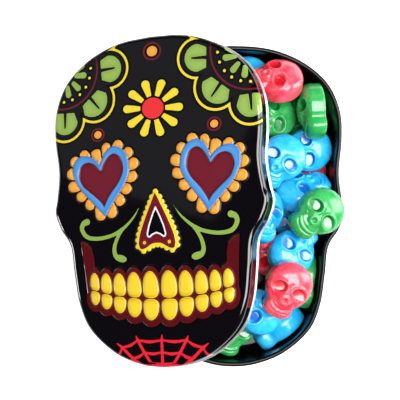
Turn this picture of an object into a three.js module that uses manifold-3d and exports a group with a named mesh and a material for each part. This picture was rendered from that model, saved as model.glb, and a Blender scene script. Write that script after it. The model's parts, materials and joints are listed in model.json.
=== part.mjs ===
// A skull-shaped sweet tin, opened: its lid leans on its tray, and the tray is full of skull sweets.
// Millimetres, +Z up, +Y towards the forehead. The origin is the middle of the tray's flat underside.
import * as THREE from "three";
import { mergeVertices } from "three/addons/utils/BufferGeometryUtils.js";
import Module from "manifold-3d";

const wasm = await Module();
wasm.setup();

// Tin: the lid sets the size, and the tray is made to slide into it
const LID_LENGTH = 88.8;
const LID_WIDTH = 62.2;
const LID_DEPTH = 5.6;
const LID_EDGE_RADIUS = 1.3;
const HEM_ROLL = 0.4;
const SHEET = 0.35;
const SLIDE_FIT = 0.35;
const TRAY_HEIGHT = 17;
const TRAY_FOOT_RADIUS = 2.4;
const RIM_ROLL = 0.65;

// Sweets: every one comes from the same mould
const SWEET_LENGTH = 15.3;
const SWEET_WIDTH = 12.4;
const SWEET_THICKNESS = 6.4;
const SWEET_EYE_SPAN = 5.9;
const SWEET_EYE_Y = 0.4;
const SWEET_EYE_RADIUS = 1.5;
const SWEET_EYE_DEPTH = 1.1;

// Lid as it leans: where its middle stands over the tray, and how it is turned
const LID_SHIFT_X = -20.7;
const LID_SHIFT_Y = 1.7;
const LID_TILT_DEG = -20.5;
const LID_NOD_DEG = -3.8;
const LID_TURN_DEG = 3.7;

// Relief pressed into the lid: heights over the plate
const EYE_BORDER_HEIGHT = 0.8;
const PETAL_HEIGHT = 0.9;
const NOSE_HEIGHT = 0.7;
const MOUTH_HEIGHT = 0.5;
const TOOTH_HEIGHT = 1.3;
const RELIEF_SLOPE = 0.35;

// Eyes: a leaning heart with petals all round
const EYE_CENTRE_X = 15.7;
const EYE_CENTRE_Y = 5.6;
const EYE_LEAN_DEG = 10;
const EYE_WIDTH = 16.6;
const EYE_HEIGHT = 18.2;
const EYE_BORDER = 1.8;
const PETAL_COUNT = 16;
const PETAL_RADIUS = 1.8;
const PETAL_STAND_OFF = 0.7;

// Nose and mouth
const NOSE_TOP_Y = 3.2;
const NOSE_HALF_WIDTH = 6.4;
const NOSE_LENGTH = 17.3;
const GUM_TOP_Y = -19.1;
const BITE_Y = -26.1;
const GUM_BOTTOM_Y = -32;
const BITE_RISE = 2.4;
const GUM_BOTTOM_RISE = 4.3;
const FRONT_TOOTH_WIDTH = 4.5;
const TOOTH_GAP = 0.35;
const TOOTH_CORNER = 0.9;
const MOUTH_MARGIN = 1.5;
const MOUTH_BAR_WIDTH = 3.2;
const MOUTH_BAR_TOP_Y = -10.4;

// Clearances and steps of the pile
const REST_GAP = 0.3;
const MAP_CELL = 0.5;
const CUT_OVERRUN = 0.5;
const PILE_GAP = 0.45;
const PILE_STEPS = 80;
const CALM_STEPS = 60;
const PASSES_PER_STEP = 3;
const FALL_STEP = 0.25;
const HOME_PULL = 0.1;
const DEEP_SHARE = 0.8;

// Outlines from crown to chin, right half: shares of half the width and half the length
const TIN_OUTLINE_SHARES = [
  [0, 1], [0.37, 0.972], [0.67, 0.876], [0.868, 0.741], [0.965, 0.572], [0.977, 0.405],
  [0.952, 0.2], [0.978, 0.045], [1, -0.04], [0.947, -0.15], [0.86, -0.25], [0.83, -0.417],
  [0.79, -0.6], [0.7, -0.755], [0.46, -0.91], [0.2, -0.984], [0, -1],
];
const SWEET_OUTLINE_SHARES = [
  [0, 1], [0.55, 0.88], [0.92, 0.5], [0.98, 0.05], [0.78, -0.32], [0.6, -0.5],
  [0.61, -0.78], [0.36, -0.97], [0, -1],
];
const HEART_OUTLINE_SHARES = [
  [0, 0.56], [0.22, 0.86], [0.55, 0.97], [0.87, 0.8], [1, 0.42], [0.86, -0.08],
  [0.45, -0.62], [0, -1],
];
const NOSE_OUTLINE_SHARES = [
  [0, 0], [0.3, -0.2], [0.58, -0.52], [0.85, -0.76], [1, -0.91], [0.68, -1], [0.3, -0.95], [0, -0.9],
];
// Widths of the teeth from the front to the back, as shares of the front tooth
const TOOTH_WIDTH_SHARES = [1, 0.89, 0.8, 0.7, 0.62];

// How near an inset line may come to the middle of a bend, and how late it slows down
const BEND_SHARE = 0.9;
const BEND_POWER = 4;

const degrees = THREE.MathUtils.degToRad;

// The whole outline, counter-clockwise from the crown, mirrored from its right half.
function mirroredShares(rightShares) {
  const sideShares = rightShares.slice(1, -1);
  const leftShares = sideShares.map(([x, y]) => [-x, y]);
  return [rightShares[0], ...leftShares, rightShares.at(-1), ...sideShares.reverse()];
}

// A smooth closed outline: points, outward normals and how tightly it bends there, with the same number
// of steps between any two marks.
function smoothOutline(rightShares, halfWidth, halfLength, stepsPerMark) {
  const marks = mirroredShares(rightShares).map(
    ([x, y]) => new THREE.Vector3(x * halfWidth, y * halfLength, 0),
  );
  const curve = new THREE.CatmullRomCurve3(marks, true, "centripetal");
  const count = marks.length * stepsPerMark;
  const points = Array.from({ length: count }, (_, i) => {
    const point = curve.getPoint(i / count);
    const along = curve.getTangent(i / count);
    return { x: point.x, y: point.y, nx: along.y, ny: -along.x };
  });
  return points.map((p, i) => {
    const before = points[(i + count - 1) % count];
    const after = points[(i + 1) % count];
    return { ...p, bend: Math.min(bendBetween(before, p), bendBetween(p, after)) };
  });
}

// Radius of the bend between two points of an outline, or infinite where it doesn't bend outwards.
function bendBetween(p, q) {
  const turn = Math.atan2(p.nx * q.ny - p.ny * q.nx, p.nx * q.nx + p.ny * q.ny);
  return turn > 0 ? Math.hypot(q.x - p.x, q.y - p.y) / turn : Infinity;
}

// A cornered closed outline with the same fields, its normals taken between each point's neighbours.
function corneredOutline(points) {
  const last = points.length;
  return points.map(([x, y], i) => {
    const [ax, ay] = points[(i + last - 1) % last];
    const [bx, by] = points[(i + 1) % last];
    const length = Math.hypot(bx - ax, by - ay);
    return { x, y, nx: (by - ay) / length, ny: -(bx - ax) / length, bend: Infinity };
  });
}

// The outline moved inwards. Where it bends tightly, it comes nearer to the bend's middle but never there.
function insetOutline(outline, inset) {
  return outline.map((p) => {
    const tightness = Math.max(inset, 0) / (p.bend * BEND_SHARE);
    const step = inset / (1 + tightness ** BEND_POWER) ** (1 / BEND_POWER);
    return { ...p, x: p.x - p.nx * step, y: p.y - p.ny * step, bend: p.bend - step };
  });
}

// One ring: the outline moved inwards, at a height.
function insetRing(outline, inset, z) {
  return insetOutline(outline, inset).map(({ x, y }) => [x, y, z]);
}

// One ring: the outline drawn in towards a middle point, at a height.
function scaledRing(outline, share, middleY, z) {
  return outline.map((p) => [p.x * share, middleY + (p.y - middleY) * share, z]);
}

// A closed skin over a stack of rings. The first ring's cap faces up and the last one's faces down.
function skinOfRings(rings) {
  const count = rings[0].length;
  const index = [];
  for (let k = 0; k + 1 < rings.length; k++) {
    for (let i = 0; i < count; i++) {
      const a = k * count + i;
      const b = k * count + ((i + 1) % count);
      index.push(a, a + count, b + count, a, b + count, b);
    }
  }
  const capOf = (ring) =>
    THREE.ShapeUtils.triangulateShape(ring.map(([x, y]) => new THREE.Vector2(x, y)), []);
  for (const [a, b, c] of capOf(rings[0])) index.push(a, b, c);
  const base = (rings.length - 1) * count;
  for (const [a, b, c] of capOf(rings.at(-1))) index.push(base + a, base + c, base + b);
  const geometry = new THREE.BufferGeometry();
  geometry.setAttribute("position", new THREE.Float32BufferAttribute(rings.flat(2), 3));
  geometry.setIndex(index);
  return geometry;
}

// Points of an arc in a section: from one angle to another, as [inset, z] about a centre.
function sectionArc(inset, z, radius, fromDeg, toDeg, steps) {
  return Array.from({ length: steps + 1 }, (_, i) => {
    const angle = degrees(fromDeg + ((toDeg - fromDeg) * i) / steps);
    return [inset - radius * Math.cos(angle), z + radius * Math.sin(angle)];
  });
}

// Conversions between three.js geometry and solids that can be joined and cut.
function solidFrom(geometry) {
  const bare = new THREE.BufferGeometry();
  const source = geometry.index ? geometry : mergeVertices(geometry);
  bare.setAttribute("position", source.getAttribute("position"));
  bare.setIndex(source.index);
  const merged = mergeVertices(bare);
  return new wasm.Manifold(
    new wasm.Mesh({
      numProp: 3,
      vertProperties: merged.attributes.position.array,
      triVerts: new Uint32Array(merged.index.array),
    }),
  );
}

function geometryFrom(solid) {
  const mesh = solid.getMesh();
  const geometry = new THREE.BufferGeometry();
  geometry.setAttribute("position", new THREE.BufferAttribute(mesh.vertProperties, mesh.numProp));
  geometry.setIndex(new THREE.BufferAttribute(mesh.triVerts, 1));
  return geometry;
}

// Outline of the lid's rolled hem, which is the widest line of the tin
const TIN_STEPS_PER_MARK = 3;
const lidOutline = smoothOutline(
  TIN_OUTLINE_SHARES, LID_WIDTH / 2, LID_LENGTH / 2, TIN_STEPS_PER_MARK,
);

// The lid's plain shell: plate, rounded edge, skirt and rolled hem, with the plate's top at height zero.
function lidShell() {
  const skirt = HEM_ROLL;
  const edge = skirt + LID_EDGE_RADIUS;
  const innerRadius = LID_EDGE_RADIUS - SHEET;
  const hemZ = -LID_DEPTH + HEM_ROLL;
  const section = [
    ...sectionArc(edge, -LID_EDGE_RADIUS, LID_EDGE_RADIUS, 90, 0, 3),
    [skirt, hemZ + HEM_ROLL],
    ...sectionArc(skirt, hemZ, HEM_ROLL, 30, -90, 2),
    [skirt + SHEET, -LID_DEPTH],
    ...sectionArc(edge, -LID_EDGE_RADIUS, innerRadius, 0, 90, 1),
  ];
  return solidFrom(skinOfRings(section.map(([inset, z]) => insetRing(lidOutline, inset, z))));
}

// A raised pad with sloping sides. Below the plate it goes down to a depth.
function pad(outline, height, depth) {
  return solidFrom(
    skinOfRings([
      insetRing(outline, height * RELIEF_SLOPE, height),
      insetRing(outline, 0, 0),
      insetRing(outline, 0, -depth),
    ]),
  );
}

// What is pressed up from below to make that pad: the same form, one sheet further in and lower.
function padHollow(outline, height) {
  const inner = insetOutline(outline, SHEET);
  return solidFrom(
    skinOfRings([
      insetRing(inner, height * RELIEF_SLOPE, height - SHEET),
      insetRing(inner, 0, -SHEET),
      insetRing(inner, 0, -SHEET - CUT_OVERRUN),
    ]),
  );
}

// Moves an outline drawn about its own middle to its place on the lid. Side is 1 or -1.
function placedOutline(outline, centreX, centreY, leanDeg, side) {
  const cos = Math.cos(degrees(leanDeg * side));
  const sin = Math.sin(degrees(leanDeg * side));
  return outline.map((p) => ({
    x: side * centreX + p.x * cos + p.y * sin,
    y: centreY - p.x * sin + p.y * cos,
    nx: p.nx * cos + p.ny * sin,
    ny: -p.nx * sin + p.ny * cos,
    bend: p.bend,
  }));
}

const HEART_STEPS_PER_MARK = 2;
const PETAL_SIDES = 7;
const heartOutline = smoothOutline(
  HEART_OUTLINE_SHARES, EYE_WIDTH / 2, EYE_HEIGHT / 2, HEART_STEPS_PER_MARK,
);

// Middles of the petals, spaced evenly along the heart's edge.
function petalCentres() {
  const marks = heartOutline.map((p) => new THREE.Vector3(p.x, p.y, 0));
  const edge = new THREE.CatmullRomCurve3(marks, true, "centripetal");
  edge.arcLengthDivisions = marks.length * PETAL_COUNT;
  return Array.from({ length: PETAL_COUNT }, (_, i) => {
    const point = edge.getPointAt(i / PETAL_COUNT);
    const along = edge.getTangentAt(i / PETAL_COUNT);
    return [point.x + along.y * PETAL_STAND_OFF, point.y - along.x * PETAL_STAND_OFF];
  });
}

function roundOutline(centreX, centreY, radius, sides) {
  return Array.from({ length: sides }, (_, i) => {
    const angle = (2 * Math.PI * i) / sides;
    const nx = Math.cos(angle);
    const ny = Math.sin(angle);
    return { x: centreX + radius * nx, y: centreY + radius * ny, nx, ny, bend: radius };
  });
}

// Both eyes: outlines of every raised pad with its height.
function eyePads() {
  const pads = [];
  for (const side of [1, -1]) {
    const place = (outline) => placedOutline(outline, EYE_CENTRE_X, EYE_CENTRE_Y, EYE_LEAN_DEG, side);
    pads.push({ outline: place(heartOutline), height: EYE_BORDER_HEIGHT });
    for (const [x, y] of petalCentres()) {
      pads.push({ outline: place(roundOutline(x, y, PETAL_RADIUS, PETAL_SIDES)), height: PETAL_HEIGHT });
    }
  }
  return pads;
}

function nosePad() {
  const shares = mirroredShares(NOSE_OUTLINE_SHARES);
  const points = shares.map(([x, y]) => [x * NOSE_HALF_WIDTH, NOSE_TOP_Y + y * NOSE_LENGTH]);
  return { outline: corneredOutline(points), height: NOSE_HEIGHT };
}

// Centre and width of each tooth in the right half of a row, from the front to the back.
function toothPlaces() {
  let edge = 0;
  return TOOTH_WIDTH_SHARES.map((share) => {
    const width = share * FRONT_TOOTH_WIDTH;
    const x = edge + width / 2 + TOOTH_GAP / 2;
    edge += width + TOOTH_GAP;
    return { x, width };
  });
}

const mouthHalfWidth = toothPlaces().at(-1).x + toothPlaces().at(-1).width / 2;
const biteY = (x) => BITE_Y + BITE_RISE * (x / mouthHalfWidth) ** 2;
const gumBottomY = (x) => GUM_BOTTOM_Y + GUM_BOTTOM_RISE * (x / mouthHalfWidth) ** 2;

// A tooth's outline: a box with cut corners.
function toothOutline(x, width, top, bottom) {
  const half = width / 2;
  const c = TOOTH_CORNER;
  return corneredOutline([
    [x + half, top - c], [x + half - c, top], [x - half + c, top], [x - half, top - c],
    [x - half, bottom + c], [x - half + c, bottom], [x + half - c, bottom], [x + half, bottom + c],
  ]);
}

function toothPads() {
  const pads = [];
  for (const { x, width } of toothPlaces()) {
    for (const side of [1, -1]) {
      const bite = biteY(x);
      const gap = TOOTH_GAP / 2;
      pads.push(toothOutline(side * x, width, GUM_TOP_Y, bite + gap));
      pads.push(toothOutline(side * x, width, bite - gap, gumBottomY(x)));
    }
  }
  return pads.map((outline) => ({ outline, height: TOOTH_HEIGHT }));
}

// The field that the teeth stand on, with a bar that rises at each corner of the mouth.
function mouthPad() {
  const outer = mouthHalfWidth + MOUTH_MARGIN;
  const barInner = outer - MOUTH_BAR_WIDTH;
  const top = GUM_TOP_Y + MOUTH_MARGIN;
  const below = toothPlaces().map(({ x }) => [x, gumBottomY(x) - MOUTH_MARGIN]);
  const half = [
    [0, top], [barInner, top], [barInner, MOUTH_BAR_TOP_Y], [outer, MOUTH_BAR_TOP_Y],
    [outer, biteY(outer)], ...below.reverse(), [0, gumBottomY(0) - MOUTH_MARGIN],
  ];
  return { outline: corneredOutline(mirroredShares(half)), height: MOUTH_HEIGHT };
}

// The hearts' sunk middles: what is cut from above, down to the plate, and what stays standing below.
function eyeMiddles() {
  const inner = insetOutline(heartOutline, EYE_BORDER);
  return [1, -1].map((side) => {
    const outline = placedOutline(inner, EYE_CENTRE_X, EYE_CENTRE_Y, EYE_LEAN_DEG, side);
    const sunk = solidFrom(skinOfRings([
      insetRing(outline, -RELIEF_SLOPE * EYE_BORDER_HEIGHT, EYE_BORDER_HEIGHT + CUT_OVERRUN),
      insetRing(outline, 0, 0),
    ]));
    const kept = solidFrom(skinOfRings([
      insetRing(outline, -SHEET, EYE_BORDER_HEIGHT),
      insetRing(outline, -SHEET, -SHEET - 2 * CUT_OVERRUN),
    ]));
    return { sunk, kept };
  });
}

// The whole lid in its own frame.
function lidGeometry() {
  const pads = [mouthPad(), nosePad(), ...eyePads(), ...toothPads()];
  const middles = eyeMiddles();
  let raised = lidShell();
  for (const { outline, height } of pads) raised = raised.add(pad(outline, height, SHEET / 2));
  for (const { sunk } of middles) raised = raised.subtract(sunk);
  for (const { outline, height } of pads) {
    let hollow = padHollow(outline, height);
    for (const { kept } of middles) hollow = hollow.subtract(kept);
    raised = raised.subtract(hollow);
  }
  return geometryFrom(raised);
}

// The tray: a drawn pan with a rounded foot and a rim rolled outwards.
const trayOutline = insetOutline(lidOutline, HEM_ROLL + SHEET + SLIDE_FIT);
const trayWall = 2 * RIM_ROLL - SHEET;

function trayGeometry() {
  const rimZ = TRAY_HEIGHT - RIM_ROLL;
  const foot = trayWall + TRAY_FOOT_RADIUS;
  const section = [
    ...sectionArc(foot, TRAY_FOOT_RADIUS, TRAY_FOOT_RADIUS - SHEET, -90, 0, 2),
    ...sectionArc(RIM_ROLL, rimZ, RIM_ROLL, 180, -60, 5),
    [trayWall, rimZ - RIM_ROLL],
    ...sectionArc(foot, TRAY_FOOT_RADIUS, TRAY_FOOT_RADIUS, 0, -90, 2),
  ];
  return skinOfRings(section.map(([inset, z]) => insetRing(trayOutline, inset, z)));
}

// The tray's wall from inside and the top of its rim, as marks for what lies in it.
const innerWall = insetOutline(trayOutline, trayWall + SHEET);
const rimPoints = insetOutline(trayOutline, RIM_ROLL).map((p) => new THREE.Vector3(p.x, p.y, TRAY_HEIGHT));
const TURN_SLOTS = 120;
const turnSlot = (x, y) => {
  const turn = Math.atan2(y, x) / (2 * Math.PI);
  return Math.floor((turn < 0 ? turn + 1 : turn) * TURN_SLOTS) % TURN_SLOTS;
};
const wallMarkByTurn = Array.from({ length: TURN_SLOTS }, (_, slot) => {
  const angle = (2 * Math.PI * (slot + 0.5)) / TURN_SLOTS;
  const lineUp = innerWall.map((p) => (p.x * Math.cos(angle) + p.y * Math.sin(angle)) / Math.hypot(p.x, p.y));
  return lineUp.indexOf(Math.max(...lineUp));
});

// One sweet, flat back down: a domed skull with two eye sockets.
const SWEET_STEPS_PER_MARK = 1;
const SWEET_MIDDLE_SHARE = 0.15;
const REACH_STEPS = 180;
// Rings of the dome from the top down: share of the outline and share of the thickness
const SWEET_RING_SHARES = [[0.45, 1], [0.8, 0.86], [1, 0.52], [1, 0.16], [0.9, 0]];

const sweetMiddleY = (SWEET_MIDDLE_SHARE * SWEET_LENGTH) / 2;
const sweetOutline = smoothOutline(
  SWEET_OUTLINE_SHARES, SWEET_WIDTH / 2, SWEET_LENGTH / 2, SWEET_STEPS_PER_MARK,
);
const sweetRings = SWEET_RING_SHARES.map(([share, height]) =>
  scaledRing(sweetOutline, share, sweetMiddleY, height * SWEET_THICKNESS),
);
const sweetPoints = sweetRings.flat().map(([x, y, z]) => new THREE.Vector3(x, y, z - SWEET_THICKNESS / 2));

function sweetGeometry() {
  let sweet = solidFrom(skinOfRings(sweetRings));
  for (const side of [1, -1]) {
    const socket = new THREE.ConeGeometry(SWEET_EYE_RADIUS, 2 * SWEET_EYE_DEPTH, 6);
    socket.rotateX(-Math.PI / 2);
    socket.translate((side * SWEET_EYE_SPAN) / 2, SWEET_EYE_Y, SWEET_THICKNESS - SWEET_EYE_DEPTH / 2);
    sweet = sweet.subtract(solidFrom(positionsOnly(socket)));
  }
  return geometryFrom(sweet).translate(0, 0, -SWEET_THICKNESS / 2);
}

function positionsOnly(geometry) {
  const bare = new THREE.BufferGeometry();
  bare.setAttribute("position", geometry.getAttribute("position"));
  bare.setIndex(geometry.index);
  return mergeVertices(bare);
}

// Height map of what has been put down so far, over a square that holds the tray and the lid
const mapHalf = LID_LENGTH;
const mapCount = Math.ceil((2 * mapHalf) / MAP_CELL);
const pileMap = new Float64Array(mapCount * mapCount).fill(0);

// Visits every map cell under a placed mesh, with the height of each triangle there.
function eachCell(mesh, visit) {
  mesh.updateMatrixWorld(true);
  const position = mesh.geometry.getAttribute("position");
  const index = mesh.geometry.index;
  const corners = [0, 1, 2].map(() => new THREE.Vector3());
  for (let t = 0; t < index.count; t += 3) {
    corners.forEach((corner, k) =>
      corner.fromBufferAttribute(position, index.getX(t + k)).applyMatrix4(mesh.matrixWorld),
    );
    cellsOfTriangle(corners, visit);
  }
}

function cellsOfTriangle([a, b, c], visit) {
  const area = (b.x - a.x) * (c.y - a.y) - (c.x - a.x) * (b.y - a.y);
  if (area === 0) return;
  const cellOf = (v) => Math.round((v + mapHalf) / MAP_CELL);
  const [x0, x1] = [Math.min(a.x, b.x, c.x), Math.max(a.x, b.x, c.x)].map(cellOf);
  const [y0, y1] = [Math.min(a.y, b.y, c.y), Math.max(a.y, b.y, c.y)].map(cellOf);
  for (let i = x0; i <= x1; i++) {
    for (let j = y0; j <= y1; j++) {
      const x = i * MAP_CELL - mapHalf;
      const y = j * MAP_CELL - mapHalf;
      const u = ((b.x - x) * (c.y - y) - (c.x - x) * (b.y - y)) / area;
      const v = ((c.x - x) * (a.y - y) - (a.x - x) * (c.y - y)) / area;
      if (u < 0 || v < 0 || u + v > 1) continue;
      visit(i * mapCount + j, u * a.z + v * b.z + (1 - u - v) * c.z);
    }
  }
}

// Adds a placed mesh to the map.
function addToMap(mesh) {
  eachCell(mesh, (cell, z) => {
    pileMap[cell] = Math.max(pileMap[cell], z);
  });
}

// How far a mesh must rise, from where it is, to clear what the map holds there or also in the cells
// beside. It is negative where the mesh already lies higher.
const sameCell = [0];
const neighbourCells = [-1, 0, 1].flatMap((row) => [-1, 0, 1].map((step) => row * mapCount + step));

function riseToClear(mesh, cells) {
  let rise = -Infinity;
  eachCell(mesh, (cell, z) => {
    for (const step of cells) rise = Math.max(rise, pileMap[cell + step] - z);
  });
  return rise;
}

// The sweet as a form that can be asked how far a point lies outside it: negative within.
const reachTable = Array.from({ length: REACH_STEPS }, (_, i) => {
  const angle = (2 * Math.PI * i) / REACH_STEPS;
  return reachOfOutline(sweetOutline, sweetMiddleY, angle);
});

function reachOfOutline(outline, middleY, angle) {
  const dx = Math.cos(angle);
  const dy = Math.sin(angle);
  let reach = 0;
  outline.forEach((p, i) => {
    const q = outline[(i + 1) % outline.length];
    const [ax, ay] = [p.x, p.y - middleY];
    const [ex, ey] = [q.x - p.x, q.y - p.y];
    const cross = dx * ey - dy * ex;
    if (cross === 0) return;
    const along = (ax * ey - ay * ex) / cross;
    const share = (ax * dy - ay * dx) / cross;
    if (along > 0 && share >= 0 && share <= 1) reach = Math.max(reach, along);
  });
  return reach;
}

function outsideSweet(x, y, z) {
  const dy = y - sweetMiddleY;
  const turn = Math.atan2(dy, x) / (2 * Math.PI);
  const reach = reachTable[Math.round((turn < 0 ? turn + 1 : turn) * REACH_STEPS) % REACH_STEPS];
  const share = Math.hypot(x, dy) / reach;
  let outside = Math.max((share - 1) * reach, -z - SWEET_THICKNESS / 2);
  for (let k = 0; k + 1 < SWEET_RING_SHARES.length; k++) {
    const [s0, h0] = SWEET_RING_SHARES[k];
    const [s1, h1] = SWEET_RING_SHARES[k + 1];
    const dr = (s1 - s0) * reach;
    const dz = (h1 - h0) * SWEET_THICKNESS;
    const length = Math.hypot(dr, dz);
    const height = z + SWEET_THICKNESS / 2 - h0 * SWEET_THICKNESS;
    outside = Math.max(outside, (-dz * (share - s0) * reach + dr * height) / length);
  }
  return Math.max(outside, z - SWEET_THICKNESS / 2);
}

// Direction in which the way out of the sweet is shortest, at a point in the sweet's own frame.
function wayOut(point) {
  const d = REST_GAP / 2;
  return new THREE.Vector3(
    outsideSweet(point.x + d, point.y, point.z) - outsideSweet(point.x - d, point.y, point.z),
    outsideSweet(point.x, point.y + d, point.z) - outsideSweet(point.x, point.y - d, point.z),
    outsideSweet(point.x, point.y, point.z + d) - outsideSweet(point.x, point.y, point.z - d),
  ).normalize();
}

// Moves and turns loose bodies apart along a direction, the first one forwards and the second one back.
const swing = SWEET_LENGTH / 4;

function pushApart(point, direction, amount, ahead, behind) {
  const bodies = [[ahead, 1], [behind, -1]].filter(([body]) => body);
  const arms = bodies.map(([body]) => point.clone().sub(body.position).cross(direction));
  const ease = arms.reduce((sum, arm) => sum + 1 + arm.lengthSq() / swing ** 2, 0);
  bodies.forEach(([body, side], i) => {
    const share = (side * amount) / ease;
    body.position.addScaledVector(direction, share);
    const angle = (arms[i].length() * share) / swing ** 2;
    body.quaternion.premultiply(
      new THREE.Quaternion().setFromAxisAngle(arms[i].clone().normalize(), angle),
    );
    body.updateMatrixWorld(true);
  });
}

// The worst of some points against one sweet: the one that lies deepest in it.
function deepestIn(sweet, points) {
  const inverse = sweet.matrixWorld.clone().invert();
  const local = new THREE.Vector3();
  let worst = null;
  let least = PILE_GAP;
  for (const point of points) {
    local.copy(point).applyMatrix4(inverse);
    const outside = outsideSweet(local.x, local.y, local.z);
    if (outside >= least) continue;
    least = outside;
    worst = { point, outside, way: wayOut(local).transformDirection(sweet.matrixWorld) };
  }
  return worst;
}

function worldPoints(sweet) {
  return sweetPoints.map((point) => point.clone().applyMatrix4(sweet.matrixWorld));
}

// Moves two sweets apart: first their middles, where one lies deep in the other, and then the points
// that lie in the other one. The second sweet stays where it is if it lies still.
function separateSweets(a, b, still) {
  const between = a.position.clone().sub(b.position);
  if (between.length() > SWEET_LENGTH + PILE_GAP) return;
  const tooNear = DEEP_SHARE * SWEET_THICKNESS - between.length();
  if (tooNear > 0) pushApart(a.position.clone(), between.normalize(), tooNear, a, still ? null : b);
  const inB = deepestIn(b, worldPoints(a));
  if (inB) pushApart(inB.point, inB.way, PILE_GAP - inB.outside, a, still ? null : b);
  const inA = deepestIn(a, worldPoints(b));
  if (inA) pushApart(inA.point, inA.way.negate(), PILE_GAP - inA.outside, a, still ? null : b);
}

// The tray's inner wall by direction from the middle, for a quick look at the nearest mark.
const WALL_MARKS_EACH_SIDE = 4;

function nearestWallMark(point) {
  const start = wallMarkByTurn[turnSlot(point.x, point.y)];
  let nearest = null;
  let least = Infinity;
  for (let k = -WALL_MARKS_EACH_SIDE; k <= WALL_MARKS_EACH_SIDE; k++) {
    const mark = innerWall[(start + k + innerWall.length) % innerWall.length];
    const distance = Math.hypot(point.x - mark.x, point.y - mark.y);
    if (distance < least) [nearest, least] = [mark, distance];
  }
  return nearest;
}

// Keeps a sweet in the tray: over the floor, within the wall or over the rim, and under the lid.
function keepInTray(sweet) {
  const up = new THREE.Vector3(0, 0, 1);
  let worst = { amount: 0 };
  for (const point of worldPoints(sweet)) {
    const options = [];
    if (point.z < SHEET + PILE_GAP) options.push([SHEET + PILE_GAP - point.z, up]);
    if (point.z < TRAY_HEIGHT + PILE_GAP) {
      const mark = nearestWallMark(point);
      const beyond = (point.x - mark.x) * mark.nx + (point.y - mark.y) * mark.ny + PILE_GAP;
      const toTop = TRAY_HEIGHT + PILE_GAP - point.z;
      if (beyond > 0 && toTop < beyond) options.push([toTop, up]);
      else if (beyond > 0) options.push([beyond, new THREE.Vector3(-mark.nx, -mark.ny, 0)]);
    }
    const under = lidPlane.distanceToPoint(point) + PILE_GAP;
    if (under > 0) options.push([under, lidPlane.normal.clone().negate()]);
    for (const [amount, way] of options) if (amount > worst.amount) worst = { amount, way, point };
  }
  if (worst.amount > 0) pushApart(worst.point, worst.way, worst.amount, sweet, null);
  const rim = deepestIn(sweet, rimPoints);
  if (rim) pushApart(rim.point, rim.way.negate(), PILE_GAP - rim.outside, sweet, null);
}

// Works the sweets apart until none touches another or those that lie still. Meanwhile the loose ones
// fall and the firm ones are drawn back to their own places, until the last steps.
function settlePile(sweets, stillSweets) {
  for (let step = 0; step < PILE_STEPS + CALM_STEPS; step++) {
    for (const { mesh, home, firm } of sweets) {
      if (step >= PILE_STEPS) continue;
      if (firm) {
        mesh.position.lerp(home.position, HOME_PULL);
        mesh.quaternion.slerp(home.quaternion, HOME_PULL);
      } else {
        mesh.position.z -= FALL_STEP;
      }
      mesh.updateMatrixWorld(true);
    }
    for (let pass = 0; pass < PASSES_PER_STEP; pass++) {
      sweets.forEach((a, i) => sweets.slice(i + 1).forEach((b) => separateSweets(a.mesh, b.mesh, false)));
      for (const a of sweets) for (const b of stillSweets) separateSweets(a.mesh, b.mesh, true);
      for (const { mesh } of sweets) keepInTray(mesh);
    }
  }
}

// The sweets: colour, place as shares of the lid's half width, its half length and the tray's height,
// turn of the crown from +Y, nod that lifts the crown and roll that lifts the left cheek, in degrees,
// and whether the sweet keeps its place or falls.
const COLOURS = { blue: 0x32bef5, red: 0xf04b5a, green: 0x3cc35f };
const FIRM = true;
const LOOSE = false;
const SWEET_PLACE_SHARES = [
  ["green", 0.7, 0.536, 0.26, -10, 0, -10, FIRM],
  ["green", 0.68, 0.6, 0.84, -9, 0, -80, FIRM],
  ["blue", 0.476, -0.725, 0.5, -44, 0, -72, FIRM],
  ["red", 0.595, 0.225, 0.24, -90, 0, 0, LOOSE],
  ["green", 0.32, 0.42, 0.24, -90, 0, 0, LOOSE],
  ["blue", 0.495, -0.046, 0.3, -127, 0, 0, FIRM],
  ["blue", 0.23, -0.72, 0.24, 10, 0, 0, LOOSE],
  ["green", 0.611, -0.51, 0.43, -10, 0, -85, FIRM],
  ["red", 0.379, -0.306, 0.35, -129, 0, 0, FIRM],
  ["green", 0.077, -0.795, 0.68, -25, 15, 0, FIRM],
  ["blue", 0.02, 0.7, 0.24, -80, 0, 0, LOOSE],
  ["red", -0.5, 0.62, 0.24, 60, 0, 0, LOOSE],
  ["green", -0.6, 0.28, 0.24, 170, 0, 0, LOOSE],
  ["red", -0.16, 0.34, 0.24, 10, 0, 0, LOOSE],
  ["blue", -0.25, 0.03, 0.24, 95, 0, 0, LOOSE],
  ["blue", -0.6, -0.14, 0.24, 10, 0, 0, LOOSE],
  ["green", -0.18, -0.26, 0.24, 80, 0, 0, LOOSE],
  ["red", -0.45, -0.55, 0.24, -10, 0, 0, LOOSE],
  ["blue", 0.103, 0.797, 0.65, -75, 0, 0, FIRM],
  ["green", 0.35, 0.56, 0.68, -75, -25, 0, FIRM],
  ["blue", 0.68, 0.341, 0.68, -70, 12, 15, FIRM],
  ["blue", 0.64, 0.18, 0.68, 97, 0, 58, FIRM],
  ["blue", 0.6, -0.3, 0.87, 168, 0, -20, FIRM],
  ["blue", 0.245, -0.653, 0.88, -140, 0, 0, FIRM],
  ["red", 0.39, 0.76, 1.03, -78, 0, -30, FIRM],
  ["blue", 0.412, 0.252, 0.99, -38, 0, 0, FIRM],
  ["green", 0.715, -0.047, 1.16, -53, 0, 0, FIRM],
  ["red", 0.42, -0.505, 1.15, -25, 15, -5, FIRM],
  ["red", -0.35, 0.45, 0.9, 30, 0, 0, LOOSE],
  ["green", -0.55, 0.1, 0.9, 70, 0, 0, LOOSE],
  ["green", 0.02, 0.2, 0.9, 140, 0, 0, LOOSE],
  ["red", -0.3, -0.1, 0.9, -60, 0, 0, LOOSE],
  ["blue", -0.2, -0.4, 0.9, 10, 0, 0, LOOSE],
];
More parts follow.
